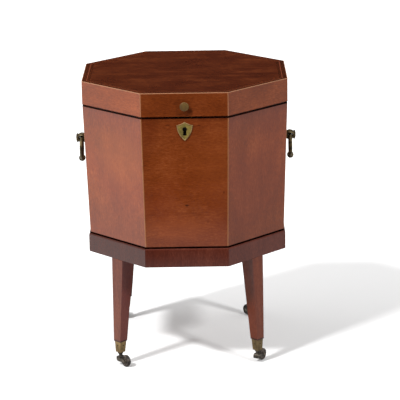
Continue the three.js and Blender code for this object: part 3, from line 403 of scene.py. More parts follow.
# %% [markdown]
# ## The chest's boards
# Each side of the chest is a board of its own, veneered in mahogany. On the front the figure
# lies level, and on the other sides it stands upright. Every side also gets a brightness of its
# own, painted light and shade for the way the lamps and the polish catch it: the slanting sides
# lighter than the front, the left lighter than the right, and the handle sides darker than the
# slanting ones. Eight materials could do that, but one material that knows which side it is on
# keeps the eight in step.

# %% Cut the chest's veneers
CHEST_TONES = ("431909", "763513", "a05428")
WARM_TONE, WARM_SHARE = "7a2f1c", 0.22

chest_wood, tree, shader = new_material("chest_mahogany")
sideways, outward, height, side = face_coordinates(tree)
on_front = is_side(tree, side, FRONT)
upright_grain = grain_along(tree, height, sideways, outward, side)
level_figure = grain_along(tree, sideways, height, outward, side)
grain = grain_by(tree, on_front, upright_grain, level_figure)
wood = mahogany(tree, shader, grain, CHEST_TONES, gloss=(0.10, 0.18))
warmth = eased(tree, squeezed_noise(tree, grain, (6, 5, 5), 1), 0.35, 0.65, 0.0, WARM_SHARE)
wood = mixed(tree, warmth, wood, linear(WARM_TONE))
print("chest veneers cut in", CHEST_TONES)

# %% Shade the sides
FOOT_SHADE_TO, TOP_SHADE, UPPER_SHADE_SPAN = 0.46, 14 * MM, 75 * MM


# Painted light and shade: a side's brightness follows the way it faces, and the handle sides are
# darker
def side_light_and_shade(tree, side, least, across, rightward, at_handles):
    turned = sums(tree, "COSINE", both(tree, side, EIGHTH))
    size = sums(tree, "ABSOLUTE", turned)
    value = sums(tree, "MULTIPLY_ADD", size, across, least)
    value = sums(tree, "MULTIPLY_ADD", turned, rightward, value)
    handle_side = sums(tree, "GREATER_THAN", size, 0.9)
    return turned, sums(tree, "MULTIPLY_ADD", handle_side, at_handles, value)


turned, value = side_light_and_shade(tree, side, 0.82, 0.48, -0.11, -0.40)
# Painted shade: the slanting sides darken towards the foot and under the lid, and dim towards
# purple-brown over their top part
slanting = sums(tree, "SUBTRACT", 1.0, on_front)
foot_strength = both(tree, sums(tree, "MULTIPLY_ADD", turned, -0.04, 0.20), slanting)
foot_shade = both(tree, eased(tree, height, 0.30, FOOT_SHADE_TO, 1.0, 0.0), foot_strength)
top_shade = eased(tree, height, CHEST_TOP_Z - TOP_SHADE, CHEST_TOP_Z, 0.0, 0.22)
value = sums(tree, "SUBTRACT", value, sums(tree, "ADD", foot_shade, top_shade))
wood = node(tree, "HueSaturation", {"Value": value, "Color": wood})
upper_shade = both(tree, eased(tree, height, CHEST_TOP_Z - UPPER_SHADE_SPAN, CHEST_TOP_Z, 0.0, 0.2), slanting)
wood = mixed(tree, upper_shade, wood, linear("4e2c30"))
print("sides darken over", round(UPPER_SHADE_SPAN / MM), "mm under the lid")

# %% Stain and shade the front
# The middle of each stain and half its size in millimetres, its strength, and its colour where
# that isn't the usual dark one. The near-black one in the middle is painted shade inside the
# keyhole, and the one round it is a dark reddish halo about the keyhole plate.
FRONT_STAINS_AND_SHADE = (
    ((-84, 566), (26, 50), 0.28, "4a1608"), ((86, 450), (26, 120), 0.12, "4a1c08"),
    ((62, 480), (50, 100), 0.11, "b05a28"), ((-25, 460), (70, 100), 0.05, "a84a00"),
    ((-22, 345), (85, 32), 0.10, "d07038"), ((0, 566), (26, 28), 0.25, "5c2206"),
    ((0, 564), (12, 17), 0.92, "120503"), ((1.6, 397.5), (5.5, 2.4), 0.75),
    ((83.7, 426), (1.6, 3), 0.6), ((47.4, 359.5), (2.4, 1.2), 0.6),
    ((-36.6, 580.5), (6, 1.6), 0.5), ((31, 580.5), (5, 1.4), 0.5))
SUNNED_PATCH = ((22, 500), (90, 70), 0.09, "c87a30")

wobble = squeezed_noise(tree, grain, (90, 90, 90), 2)
wobbly = sums(tree, "MULTIPLY_ADD", wobble, 6 * MM, height)
flat_place = node(tree, "CombineXYZ", {0: sideways, 1: wobbly, 2: 0.0})
stained_and_shaded = wood
for stain in FRONT_STAINS_AND_SHADE:
    stained_and_shaded = stain_and_shadow(tree, stained_and_shaded, flat_place, *stain)
wood = mixed(tree, on_front, wood, stained_and_shaded)
sunned = stain_and_shadow(tree, wood, flat_place, *SUNNED_PATCH)
wood = mixed(tree, is_side(tree, side, FRONT - 1), wood, sunned)
print(len(FRONT_STAINS_AND_SHADE), "stains on the front")

# %% String the corners and shade the joints
# Painted shade of the shut lid's gap lies darkest on the outer few millimetres of the top edge
# and thins out inwards
JOINT_SHADE_FROM, JOINT_SHADE_TO, JOINT_SHADE_INNER = 2.0 * MM, 5.0 * MM, 0.35

rise = sums(tree, "SUBTRACT", height, CHEST_FOOT_Z)
face = sums(tree, "MULTIPLY_ADD", rise, CHEST_SLOPE, CHEST_FOOT_FACE)
on_face = sums(tree, "GREATER_THAN", outward, sums(tree, "SUBTRACT", face, 1.5 * MM))
wood = strung(tree, wood, corner_distance(tree, sideways, face), on_face, "9c623a")
behind_face = sums(tree, "SUBTRACT", face, outward)
near_face = eased(tree, behind_face, JOINT_SHADE_FROM, JOINT_SHADE_TO, 1.0, JOINT_SHADE_INNER)
top_edge = eased(tree, height, CHEST_TOP_Z - 1.6 * MM, CHEST_TOP_Z - 0.3 * MM)
shaded_top_edge = both(tree, top_edge, near_face)
wood = mixed(tree, shaded_top_edge, wood, SHADE_AND_GRIME)
# Painted shade in the rebate at the chest's foot, where it sits on the stand
shaded_foot = eased(tree, height, CHEST_FOOT_Z + 3.2 * MM, CHEST_FOOT_Z + 4.6 * MM, 1.0, 0.0)
wood = mixed(tree, shaded_foot, wood, linear("1c0805"))
# The painted shade also takes away half the shine there
edge_shade = sums(tree, "ADD", shaded_top_edge, shaded_foot)
tree.links.new(sums(tree, "MULTIPLY_ADD", edge_shade, -0.5, 0.5), shader.inputs["Specular IOR Level"])
tree.links.new(wood, shader.inputs["Base Color"])
print("chest strung and dirtied")

# %% [markdown]
# ## The lid
# The lid is a rim with a mitred frame on top and a panel set in the frame. It is darker on top.
# A pale line runs along the top corner, and a redder one lies a little inside it. The rim's side
# and top are one piece of wood here, so one material changes its grain and its colour where the
# height reaches the top. The rim's sides get the same painted light and shade as the chest's
# sides, and the dark patch below and right of the knob is the knob's painted shadow.

# %% Cut the rim's veneers
RIM_TONES = ("431909", "743412", "9c5026")
# The first mark is the knob's painted shadow, below and to the right of it; the others are a thin
# dark band just above the rim's lower edge and a faint patch left of and above the knob
RIM_SHADOW_AND_STAINS = (((11, 609), (8, 6), 0.5), ((-4, 602), (20, 4), 0.35), ((-15, 628), (8, 12), 0.2))
TOP_TONE, TOP_SHARE = "280c05", 0.74

lid_wood, tree, shader = new_material("lid_rim_mahogany")
sideways, outward, height, side = face_coordinates(tree)
on_top = sums(tree, "GREATER_THAN", height, LID_TOP - 0.4 * MM)
side_grain = grain_along(tree, sideways, height, outward, side)
top_grain = grain_along(tree, outward, sideways, height, side)
grain = grain_by(tree, on_top, side_grain, top_grain)
side_wood = mahogany(tree, shader, grain, RIM_TONES)
# The rim's sides get the same painted light and shade as the chest's sides
value = side_light_and_shade(tree, side, 0.84, 0.46, -0.17, -0.36)[1]
side_wood = node(tree, "HueSaturation", {"Value": value, "Color": side_wood})
flat_place = node(tree, "CombineXYZ", {0: sideways, 1: height, 2: 0.0})
stained_and_shaded = side_wood
for stain in RIM_SHADOW_AND_STAINS:
    stained_and_shaded = stain_and_shadow(tree, stained_and_shaded, flat_place, *stain)
side_wood = mixed(tree, is_side(tree, side, FRONT), side_wood, stained_and_shaded)
wood = mixed(tree, both(tree, on_top, TOP_SHARE), side_wood, linear(TOP_TONE))
print("rim veneers cut in", RIM_TONES)

# %% String the rim
LID_LINE = 11.5 * MM
RIM_SHINE, TOP_SHINE = 0.42, 0.12

side_only = sums(tree, "SUBTRACT", 1.0, on_top)
wood = strung(tree, wood, corner_distance(tree, sideways, LID_FACE), side_only, "925c3c")
drop = sums(tree, "SUBTRACT", LID_TOP, height)
inward = sums(tree, "SUBTRACT", LID_FACE, outward)
arris = both(tree, line_mask(tree, drop, STRING_WIDTH), line_mask(tree, inward, STRING_WIDTH))
wood = mixed(tree, arris, wood, linear("a47456"))
from_line = sums(tree, "ABSOLUTE", sums(tree, "SUBTRACT", inward, LID_LINE))
top_line = both(tree, line_mask(tree, from_line, STRING_WIDTH / 2), on_top)
wood = mixed(tree, top_line, wood, linear("86452f"))
# Painted shade of the gap under the rim, darkest at its outer edge
shaded_lid_lip = both(tree, eased(tree, height, LID_FOOT + 0.2 * MM, LID_FOOT + 1.3 * MM, 1.0, 0.0),
                 eased(tree, inward, JOINT_SHADE_FROM, JOINT_SHADE_TO, 1.0, JOINT_SHADE_INNER))
wood = mixed(tree, shaded_lid_lip, wood, SHADE_AND_GRIME)
tree.links.new(wood, shader.inputs["Base Color"])
shine = eased(tree, on_top, 0.0, 1.0, RIM_SHINE, TOP_SHINE)
shine = both(tree, shine, sums(tree, "SUBTRACT", 1.0, shaded_lid_lip))
tree.links.new(shine, shader.inputs["Specular IOR Level"])
print("inner line", round(LID_LINE / MM, 1), "mm in from the edge")

# %% Lid panel
PANEL_TONES = ("180603", "491c0a", "864723")
SEAM_WIDTH, SEAM_SHARE = 0.6 * MM, 0.4

panel_wood, tree, shader = new_material("lid_panel_mahogany")
outward = face_coordinates(tree)[1]
place = node(tree, "TexCoord", output=3)
wood = mahogany(tree, shader, place, PANEL_TONES, gloss=(0.26, 0.36), shine=0.12, streak=0.20)
inward = sums(tree, "SUBTRACT", LID_FACE - BAND_WIDTH, outward)
wood = mixed(tree, both(tree, line_mask(tree, inward, SEAM_WIDTH), SEAM_SHARE), wood, SHADE_AND_GRIME)
tree.links.new(wood, shader.inputs["Base Color"])
print("panel", round(2 * (LID_FACE - BAND_WIDTH) / MM), "mm across")

# %% [markdown]
# ## The stand and its legs
# The stand's rails are crossbanded in dark mahogany. Each rail is painted lighter or darker by
# the way it faces, as light and shade, and their ledge under the chest is painted dark as shade.
# The legs' flanks that look right are painted with a pinkish sheen, every leg face that looks
# left is painted darker as shade, and a dark band runs round each leg just above its cup.
# Painting each face apart would need the legs unwrapped, so the direction of the surface tells
# a flank from a face. The inside of the chest is plain sawn wood without polish.

# %% Rails
RAIL_TONES = ("320f0a", "4e2014", "6c3626")
RAIL_TOP_Z, RAIL_FACE = 292.0 * MM, 220.5 * MM

stand_wood, tree, shader = new_material("stand_mahogany")
sideways, outward, height, side = face_coordinates(tree)
grain = grain_along(tree, height, sideways, outward, side)
wood = mahogany(tree, shader, grain, RAIL_TONES, gloss=(0.14, 0.24), shine=0.45, streak=0.24)
# Painted light and shade: a rail is darker the more it faces left, lighter the more it faces right
turned = sums(tree, "COSINE", both(tree, side, EIGHTH))
value = sums(tree, "MULTIPLY_ADD", turned, 0.42, 0.97)
wood = node(tree, "HueSaturation", {"Value": value, "Color": wood})
# Painted shade on the ledge between the rails and the chest's foot
ledge_shade = both(tree, sums(tree, "GREATER_THAN", height, RAIL_TOP_Z),
             sums(tree, "LESS_THAN", outward, RAIL_FACE))
wood = mixed(tree, ledge_shade, wood, linear("1c0805"))
tree.links.new(wood, shader.inputs["Base Color"])
print("rails banded in", RAIL_TONES)

# %% Legs
LEG_TONES = ("45180e", "672d18", "8a482c")
LEG_FOOT_Z = 56.7 * MM

leg_wood, tree, shader = new_material("leg_mahogany")
place = node(tree, "SeparateXYZ", {0: node(tree, "TexCoord", output=3)}).node.outputs
grain = grain_along(tree, place[2], place[0], place[1])
wood = mahogany(tree, shader, grain, LEG_TONES, gloss=(0.14, 0.24), shine=0.4, streak=0.24)
facing = node(tree, "SeparateXYZ", {0: node(tree, "TexCoord", output=1)}).node.outputs
turned_out = [both(tree, facing[axis], sums(tree, "SIGN", place[axis])) for axis in (0, 1)]
outside = eased(tree, sums(tree, "ABSOLUTE", sums(tree, "ADD", *turned_out)), 0.4, 1.0)
flank = sums(tree, "SUBTRACT", 1.0, outside)
# Painted sheen: flanks that look right are mixed towards pinkish purple
right_flank_sheen = both(tree, flank, eased(tree, facing[0], -0.3, 0.3, 0.0, 0.35))
wood = mixed(tree, right_flank_sheen, wood, linear("643840"))
# Painted shade: every face that looks left is darker
left_facing_shade = eased(tree, facing[0], -0.3, 0.3, 0.17, 0.0)
wood = mixed(tree, left_facing_shade, wood, linear("240c08"))
# A dark band just above the cups
foot_band = eased(tree, place[2], LEG_FOOT_Z + 4.5 * MM, LEG_FOOT_Z + 2.5 * MM, 0.0, 0.7)
wood = mixed(tree, foot_band, wood, linear("1a0a08"))
tree.links.new(wood, shader.inputs["Base Color"])
print("legs enter their cups at", round(LEG_FOOT_Z / MM, 1), "mm")

# %% Inside of the chest
INSIDE_TONES = ("3c1e12", "74462a", "a47048")
inside_wood, tree, shader = new_material("inside_mahogany")
place = node(tree, "TexCoord", output=3)
wood = mahogany(tree, shader, place, INSIDE_TONES, gloss=(0.5, 0.62), shine=0.3)
tree.links.new(wood, shader.inputs["Base Color"])
print("inside sawn in", INSIDE_TONES)

# %% [markdown]
# ## Brass and iron
# The brass has not been polished for years. It is bright only where hands and keys rub it, and
# brown in the hollows. A painted mask of the wear would need unwrapping too. The recipe mixes
# two colours with fine cloudy noise instead, and lets the same noise roughen the surface. The
# castor wheels are darker still.

# %% Metal recipe
SPECK_COLOUR, SPECKS_PER_CLOUD = "1d160c", 9


def old_metal(name, dull, bright, rough, metallic, scale=120, spots=0.5):
    material, tree, shader = new_material(name)
    place = node(tree, "TexCoord", output=3)
    cloud = node(tree, "TexNoise", {"Vector": place, "Scale": scale, "Detail": 5})
    speck = node(tree, "TexNoise", {"Vector": place, "Scale": scale * SPECKS_PER_CLOUD,
                                    "Detail": 3})
    tone = mixed(tree, eased(tree, cloud, 0.35, 0.65), linear(dull), linear(bright))
    specks = eased(tree, speck, 0.58, 0.74, 0.0, spots)
    tone = mixed(tree, specks, tone, linear(SPECK_COLOUR))
    tree.links.new(tone, shader.inputs["Base Color"])
    tree.links.new(eased(tree, cloud, 0.3, 0.7, rough[1], rough[0]), shader.inputs["Roughness"])
    emboss(tree, shader, speck)
    shader.inputs["Metallic"].default_value = metallic
    return material


print("metal recipe ready")

# %% Mix the metals
brass = old_metal("rubbed_brass", "8a7038", "c0a468", (0.36, 0.52), 0.85)
plate_brass = old_metal("plate_brass", "785a34", "a08252", (0.42, 0.55), 0.5, 90, 0.35)
field_brass = old_metal("field_brass", "70602c", "94803c", (0.5, 0.62), 0.5, 110, 0.4)
knob_brass = old_metal("knob_brass", "5e431f", "6f5427", (0.5, 0.62), 0.4, 90, 0.35)
hub_brass = old_metal("hub_brass", "5a5046", "8c8070", (0.4, 0.55), 0.6)
dark_pin = old_metal("pin_brass", "221a12", "40331f", (0.5, 0.65), 0.6)
cup_brass = old_metal("cup_brass", "6e5a3a", "947a50", (0.42, 0.58), 0.6, 90)
# A darker copy of the cup brass, painted shade for the right-hand cups
shaded_cup_brass = old_metal("shaded_cup_brass", "58492f", "786544", (0.46, 0.62), 0.6, 90)
aged_brass = old_metal("aged_brass", "3c3322", "6e6040", (0.46, 0.6), 0.55)
horn_metal = old_metal("horn_metal", "302b26", "625a50", (0.4, 0.56), 0.65)
dark_iron = old_metal("lock_steel", "3c3a38", "6a6764", (0.4, 0.6), 0.9)
tread_black = old_metal("castor_tread", "26201c", "5a5048", (0.45, 0.65), 0.3)
print("twelve metals mixed")

# %% [markdown]
# ## Finish the solids
# Each solid keeps its mesh and only changes its material. Even a crisp old edge catches a thin
# line of light, which a sharp mesh edge can't do. So its corners are welded, and a small bevel
# runs along the sharp edges. As a modifier it leaves the mesh itself alone.

# %% Choose each solid's finish
SIDES = ("right", "back_right", "back", "back_left", "left", "front_left", "front",
         "front_right")
CORNERS = ("front_left", "front_right", "back_right", "back_left")
finishes = {"lid_rim": lid_wood, "lid_panel": panel_wood, "chest_floor": inside_wood,
            "lock_case": dark_iron, "lock_bolt": brass, "link_plate": brass,
            "keyhole_escutcheon": brass, "lid_knob": brass}
for side_name in SIDES:
    finishes[side_name + "_board"] = chest_wood
    finishes[side_name + "_rail"] = stand_wood
for name in ("front", "back", "left", "right"):
    finishes[name + "_division"] = inside_wood
for corner_name in CORNERS:
    finishes[corner_name + "_leg"] = leg_wood
    right_hand = "right" in corner_name
    # Right-hand cups take the darker copy, as painted shade
    finishes[corner_name + "_castor_cup"] = shaded_cup_brass if right_hand else cup_brass
    finishes[corner_name + "_castor_horn"] = horn_metal
    finishes[corner_name + "_castor_axle"] = horn_metal
    finishes[corner_name + "_castor_wheel"] = tread_black
for name in solids:
    if "hinge" in name:
        finishes[name] = brass
    if "handle" in name:
        finishes[name] = aged_brass
print(len(finishes), "finishes chosen")

# %% Finish and bevel them
WOOD_BEVEL, METAL_BEVEL, NUT_BEVEL = 0.5 * MM, 0.25 * MM, 0.3 * MM
WELD_REACH = 0.01 * MM
SHARP_ANGLE = math.radians(35)


def bevelled(piece, width, segments):
    bevel = piece.modifiers.new("bevel", "BEVEL")
    bevel.width = width
    bevel.segments = segments
    bevel.limit_method = "ANGLE"
    bevel.angle_limit = SHARP_ANGLE
    return bevel


for name, solid in solids.items():
    material = finishes[name]
    mesh = solid.data
    mesh.materials.clear()
    mesh.materials.append(material)
    if "custom_normal" in mesh.attributes:
        mesh.attributes.remove(mesh.attributes["custom_normal"])
    mesh.shade_smooth()
    weld = solid.modifiers.new("weld", "WELD")
    weld.merge_threshold = WELD_REACH
    width = WOOD_BEVEL if "mahogany" in material.name else METAL_BEVEL
    bevelled(solid, width, 2).harden_normals = True
print(len(solids), "solids finished")

# %% [markdown]
# ## Turned brass
# The knob, the handle bosses, the rivets and the wheels were all turned on a lathe. A profile
# swept round an axis gives the same form, and gives it rounder than the solids are, so these
# pieces stand for the solids. The profile is written once as pairs of radius and height in
# millimetres. Blender's Screw modifier sweeps too, but mesh code closes the ends as well.

# %% Find a piece's place
def placed(origin, z_axis):
    z = Vector(z_axis).normalized()
    x = Vector((0, 0, 1)).cross(z)
    x = Vector((1, 0, 0)) if x.length < 0.1 else x.normalized()
    turned_axes = Matrix((x, z.cross(x), z)).transposed().to_4x4()
    return Matrix.Translation(Vector(origin)) @ turned_axes


def on_side(side_name, z_place):
    angle = SIDES.index(side_name) * EIGHTH
    out = Vector((math.cos(angle), math.sin(angle), 0))
    tilt = math.atan(CHEST_SLOPE)
    face = CHEST_FOOT_FACE + (z_place - CHEST_FOOT_Z) * CHEST_SLOPE
    z = out * math.cos(tilt) - Vector((0, 0, math.sin(tilt)))
    y = out * math.sin(tilt) + Vector((0, 0, math.cos(tilt)))
    axes = Matrix((y.cross(z), y, z)).transposed().to_4x4()
    return Matrix.Translation(out * face + Vector((0, 0, z_place))) @ axes


def joint_named(name):
    return next(joint for joint in frame["joints"] if joint["name"] == name)


print("the chest's sides lean by", round(math.degrees(math.atan(CHEST_SLOPE)), 2), "degrees")

# %% Turn mesh code into a piece
def make_piece(name, work, place, material, body, replaced=None, smooth=40):
    bmesh.ops.recalc_face_normals(work, faces=work.faces)
    bmesh.ops.transform(work, matrix=place, verts=work.verts)
    mesh = bpy.data.meshes.new(name)
    work.to_mesh(mesh)
    work.free()
    mesh.materials.append(material)
    mesh.shade_smooth()
    mesh.set_sharp_from_angle(angle=math.radians(smooth))
    made = bpy.data.objects.new(name, mesh)
    bpy.context.scene.collection.objects.link(made)
    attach(made, body)
    if replaced:
        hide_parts(replaced)
    return made


print("piece maker ready")

# %% The lathe
def circle(radius, steps):
    angles = [2 * math.pi * step / steps for step in range(steps)]
    return [(radius * math.cos(angle), radius * math.sin(angle)) for angle in angles]


def loop_of(work, outline, height):
    return [work.verts.new((x * MM, y * MM, height * MM)) for x, y in outline]


def walls_between(work, low, high):
    for i in range(len(low)):
        j = (i + 1) % len(low)
        work.faces.new((low[i], low[j], high[j], high[i]))


def cap(work, tip, loop):
    for start, end in zip(loop, loop[1:] + loop[:1]):
        work.faces.new((tip, end, start))


def lathe(profile, steps):
    work = bmesh.new()
    loops = [loop_of(work, circle(radius, steps) if radius else [(0, 0)], height)
             for radius, height in profile]
    for low, high in zip(loops, loops[1:]):
        if len(low) == 1:
            cap(work, low[0], high)
        elif len(high) == 1:
            cap(work, high[0], low)
        else:
            walls_between(work, low, high)
    return work


print("lathe ready")

# %% The lid's knob
KNOB = [(0, -14), (2.2, -14), (2.2, 0.3), (6, 0.3), (6, 1.2), (5.2, 1.9), (3.6, 2.8),
        (3.5, 4.0), (5.3, 5.2), (9.5, 6.3), (10.0, 6.9), (10.0, 7.9), (9.6, 8.7), (8.7, 9.1),
        (7.5, 9.2), (7.1, 9.05), (6.7, 9.2), (4.0, 9.4), (0, 9.5)]
KNOB_Z = 621 * MM
FORWARD = (0, -1, 0)
knob = make_piece("turned_knob", lathe(KNOB, 64), placed((0, -LID_FACE, KNOB_Z), FORWARD),
                  knob_brass, "lid", "lid_knob")
print("knob across", round(knob.dimensions.x / MM, 1), "mm")

# %% [markdown]
# ## Ring handles
# Each boss is a ball on a foot, with a groove and a cap outside it, and the ring hangs in an
# eye bored through the ball. The ring curves inside its eye, so the eye flares towards both
# ends. A second body, taken away by a Boolean, cuts it, and the result is applied so that no
# helper is left behind. The ring is a full torus with a little turned knop at its lowest point.

# %% Cut one mesh from another
def cut_with(piece, cutter_work, place):
    bmesh.ops.recalc_face_normals(cutter_work, faces=cutter_work.faces)
    bmesh.ops.transform(cutter_work, matrix=place, verts=cutter_work.verts)
    mesh = bpy.data.meshes.new("cutter")
    cutter_work.to_mesh(mesh)
    cutter_work.free()
    cutter = bpy.data.objects.new("cutter", mesh)
    bpy.context.scene.collection.objects.link(cutter)
    boolean = piece.modifiers.new("eye", "BOOLEAN")
    boolean.operation = "DIFFERENCE"
    boolean.solver = "EXACT"
    boolean.object = cutter
    shape = piece.evaluated_get(bpy.context.evaluated_depsgraph_get())
    result = bpy.data.meshes.new_from_object(shape)
    result.name = piece.name
    piece.modifiers.clear()
    piece.data = result
    bpy.data.objects.remove(cutter)
    result.shade_smooth()
    result.set_sharp_from_angle(angle=math.radians(40))
    print(piece.name, "bored, now", len(result.polygons), "faces")


print("boring tool ready")

# %% Profiles of the boss, its eye and the nut
BALL_RADIUS, BALL_OUT, EYE_OUT = 11.8, 11.99, 13.39
BALL_FROM, BALL_TO, BALL_STEPS = math.radians(-60), math.radians(38), 16
RING_RADIUS, RING_TUBE = 24.0, 3.8
EYE_ROOM, EYE_STEPS = 0.3, 10


def ball_arc():
    angles = [BALL_FROM + (BALL_TO - BALL_FROM) * i / BALL_STEPS for i in range(BALL_STEPS + 1)]
    return [(BALL_RADIUS * math.cos(a), BALL_OUT + BALL_RADIUS * math.sin(a)) for a in angles]


def eye_radius(along):
    inner_radius = RING_RADIUS - RING_TUBE
    return RING_RADIUS + EYE_ROOM - math.sqrt(inner_radius ** 2 - along ** 2)


BOSS = [(0, -18.6), (3, -18.6), (3, 0.3), (7.6, 0.3), (8, 0.6), (8, 1.1), (7.6, 1.5), (5.8, 1.65)]
BOSS += ball_arc()
BOSS += [(9.0, 19.9), (9.0, 20.6), (9.8, 21.0), (10.25, 21.7), (10.25, 23.2), (9.8, 24.0),
         (8.5, 24.7), (6.4, 25.3), (3.4, 25.7), (0, 25.8)]
alongs = [BALL_RADIUS * step / EYE_STEPS for step in range(-EYE_STEPS, EYE_STEPS + 1)]
EYE = [(0, -18), (8, -18)] + [(eye_radius(along), along) for along in alongs] + [(8, 18), (0, 18)]
NUT = [(3.3, 0), (6, 0), (6, 3.2), (5.2, 4), (3.3, 4), (3.3, 0)]
KNOP = [(0, -5.5), (3.9, -5.5), (5.2, -5.1), (6.9, -3.9), (7.5, -2.4), (7.2, -1.1), (6.1, -0.2),
        (6.1, 0.2), (7.2, 1.1), (7.5, 2.4), (6.9, 3.9), (5.2, 5.1), (3.9, 5.5), (0, 5.5)]
print("the eye is", round(2 * eye_radius(0), 1), "mm wide in the middle")

# %% Bend a ring
def torus(radius, tube, steps=96, around=20):
    work = bmesh.new()
    loops = []
    for step in range(steps):
        angle = 2 * math.pi * step / steps
        out = Vector((math.cos(angle), 0, math.sin(angle)))
        section = [out * (radius + x) + Vector((0, y, 0)) for x, y in circle(tube, around)]
        loops.append([work.verts.new(point * MM) for point in section])
    for loop, after in zip(loops, loops[1:] + loops[:1]):
        walls_between(work, after, loop)
    return work


print("ring", 2 * (RING_RADIUS + RING_TUBE), "mm across outside")

# %% Fit both handles
HANDLE_Z = 497.5 * MM
NUT_FROM_FACE = -18.3 * MM
LYING = Matrix.Rotation(math.pi / 2, 4, "Y")

for side_name in ("left", "right"):
    place = on_side(side_name, HANDLE_Z)
    boss = make_piece(side_name + "_turned_boss", lathe(BOSS, 48), place, aged_brass, "chest",
                      side_name + "_handle_boss")
    cut_with(boss, lathe(EYE, 40), place @ Matrix.Translation((0, 0, EYE_OUT * MM)) @ LYING)
    nut = make_piece(side_name + "_domed_nut", lathe(NUT, 6),
                     place @ Matrix.Translation((0, 0, NUT_FROM_FACE)), aged_brass, "chest",
                     side_name + "_handle_nut")
    bevelled(nut, NUT_BEVEL, 3)
    pivot = Vector(joint_named(side_name + "_ring_swing")["pos_m"])
    turn_side = Matrix.Rotation(SIDES.index(side_name) * EIGHTH + math.pi / 2, 4, "Z")
    hang = Matrix.Translation(pivot) @ turn_side
    drop = Matrix.Translation((0, 0, -RING_RADIUS * MM))
    make_piece(side_name + "_brass_ring", torus(RING_RADIUS, RING_TUBE), hang @ drop,
               aged_brass, side_name + "_ring", side_name + "_handle_ring")
    make_piece(side_name + "_ring_knop", lathe(KNOP, 32), hang @ drop @ drop @ LYING,
               aged_brass, side_name + "_ring", side_name + "_handle_ring")
    print(side_name, "ring hangs from", [round(part / MM, 1) for part in pivot])

# %% [markdown]
# ## The keyhole plate
# The plate is a heater shield with a raised border. A bevelled slab would give the border the
# same height everywhere but could not dish the field. So it is built from a stack of outlines:
# up the outside, over the border, down to the field, and then a flat fill round the keyhole.

# %% Draw the shield and the keyhole
SHIELD_WIDE, SHIELD_TALL, SHIELD_DROP = 36.4, 42.3, 8.0
KEY_HEAD, KEY_NECK, KEY_FOOT, KEY_LONG, KEY_DROP = 5.0, 6.6, 8.2, 13.9, 16.5


def bezier(points, steps):
    made = []
    for step in range(steps):
        row = [Vector(point) for point in points]
        while len(row) > 1:
            row = [a.lerp(b, step / steps) for a, b in zip(row, row[1:])]
        made.append(tuple(row[0]))
    return made


def shield_outline(inset, steps=14):
    wide, tall = SHIELD_WIDE - 2 * inset, SHIELD_TALL - 2 * inset

    def at(x_share, y_share):
        return (wide * x_share, -inset - tall * y_share)

    right = bezier([at(0, 1), at(0.2, 0.85), at(0.42, 0.66), at(0.47, 0.27)], steps)
    right += [at(0.47, 0.27)] + bezier([at(0.5, 0.17), at(0.3, 0.17), at(0, 0)], steps)
    left = [(-x, y) for x, y in reversed(right[1:])]
    return right + [at(0, 0)] + left


def keyhole_outline(steps=20):
    spread = math.asin(KEY_NECK / 2 / KEY_HEAD)
    points = [(-KEY_FOOT / 2, -KEY_LONG), (KEY_FOOT / 2, -KEY_LONG)]
    first, last = spread - math.pi / 2, 1.5 * math.pi - spread
    for step in range(steps + 1):
        angle = first + (last - first) * step / steps
        points.append((KEY_HEAD * math.cos(angle), KEY_HEAD * math.sin(angle)))
    return [(x, y - KEY_DROP) for x, y in points]


print("shield outline has", len(shield_outline(0)), "points")

# %% Build the plate
# How far in from the edge and how high each outline lies, in millimetres
PLATE_BACK, FIELD_HEIGHT = 0.3, 1.0
BORDER = [(0, PLATE_BACK), (0, 1.1), (0.45, 1.5), (2.2, 1.5), (2.9, FIELD_HEIGHT)]


def edges_of(work, loop):
    return [work.edges.get((a, b)) or work.edges.new((a, b))
            for a, b in zip(loop, loop[1:] + loop[:1])]


plate = bmesh.new()
loops = [loop_of(plate, shield_outline(inset), height) for inset, height in BORDER]
for low, high in zip(loops, loops[1:]):
    walls_between(plate, low, high)
key_top = loop_of(plate, keyhole_outline(), FIELD_HEIGHT)
key_foot = loop_of(plate, keyhole_outline(), PLATE_BACK)
walls_between(plate, key_top, key_foot)
for outer, inner in ((loops[-1], key_top), (loops[0], key_foot)):
    filled = bmesh.ops.triangle_fill(plate, edges=edges_of(plate, outer) + edges_of(plate, inner),
                                     use_beauty=True)
    for new_face in filled["geom"]:
        if isinstance(new_face, bmesh.types.BMFace):
            new_face.material_index = 1
shield = make_piece("bordered_shield", plate, on_side("front", CHEST_TOP_Z - SHIELD_DROP * MM),
                    plate_brass, "chest", "keyhole_escutcheon", 30)
shield.data.materials.append(field_brass)
print("shield", len(shield.data.polygons), "faces")

# %% [markdown]
# ## Castors
# A castor wheel runs on a riveted axle in its horn. The joints say where each axle is, so the
# turned wheels and rivets are placed by them, and stay right if a castor points another way.
# The tread is nearly black, and the hub in its middle is brass.

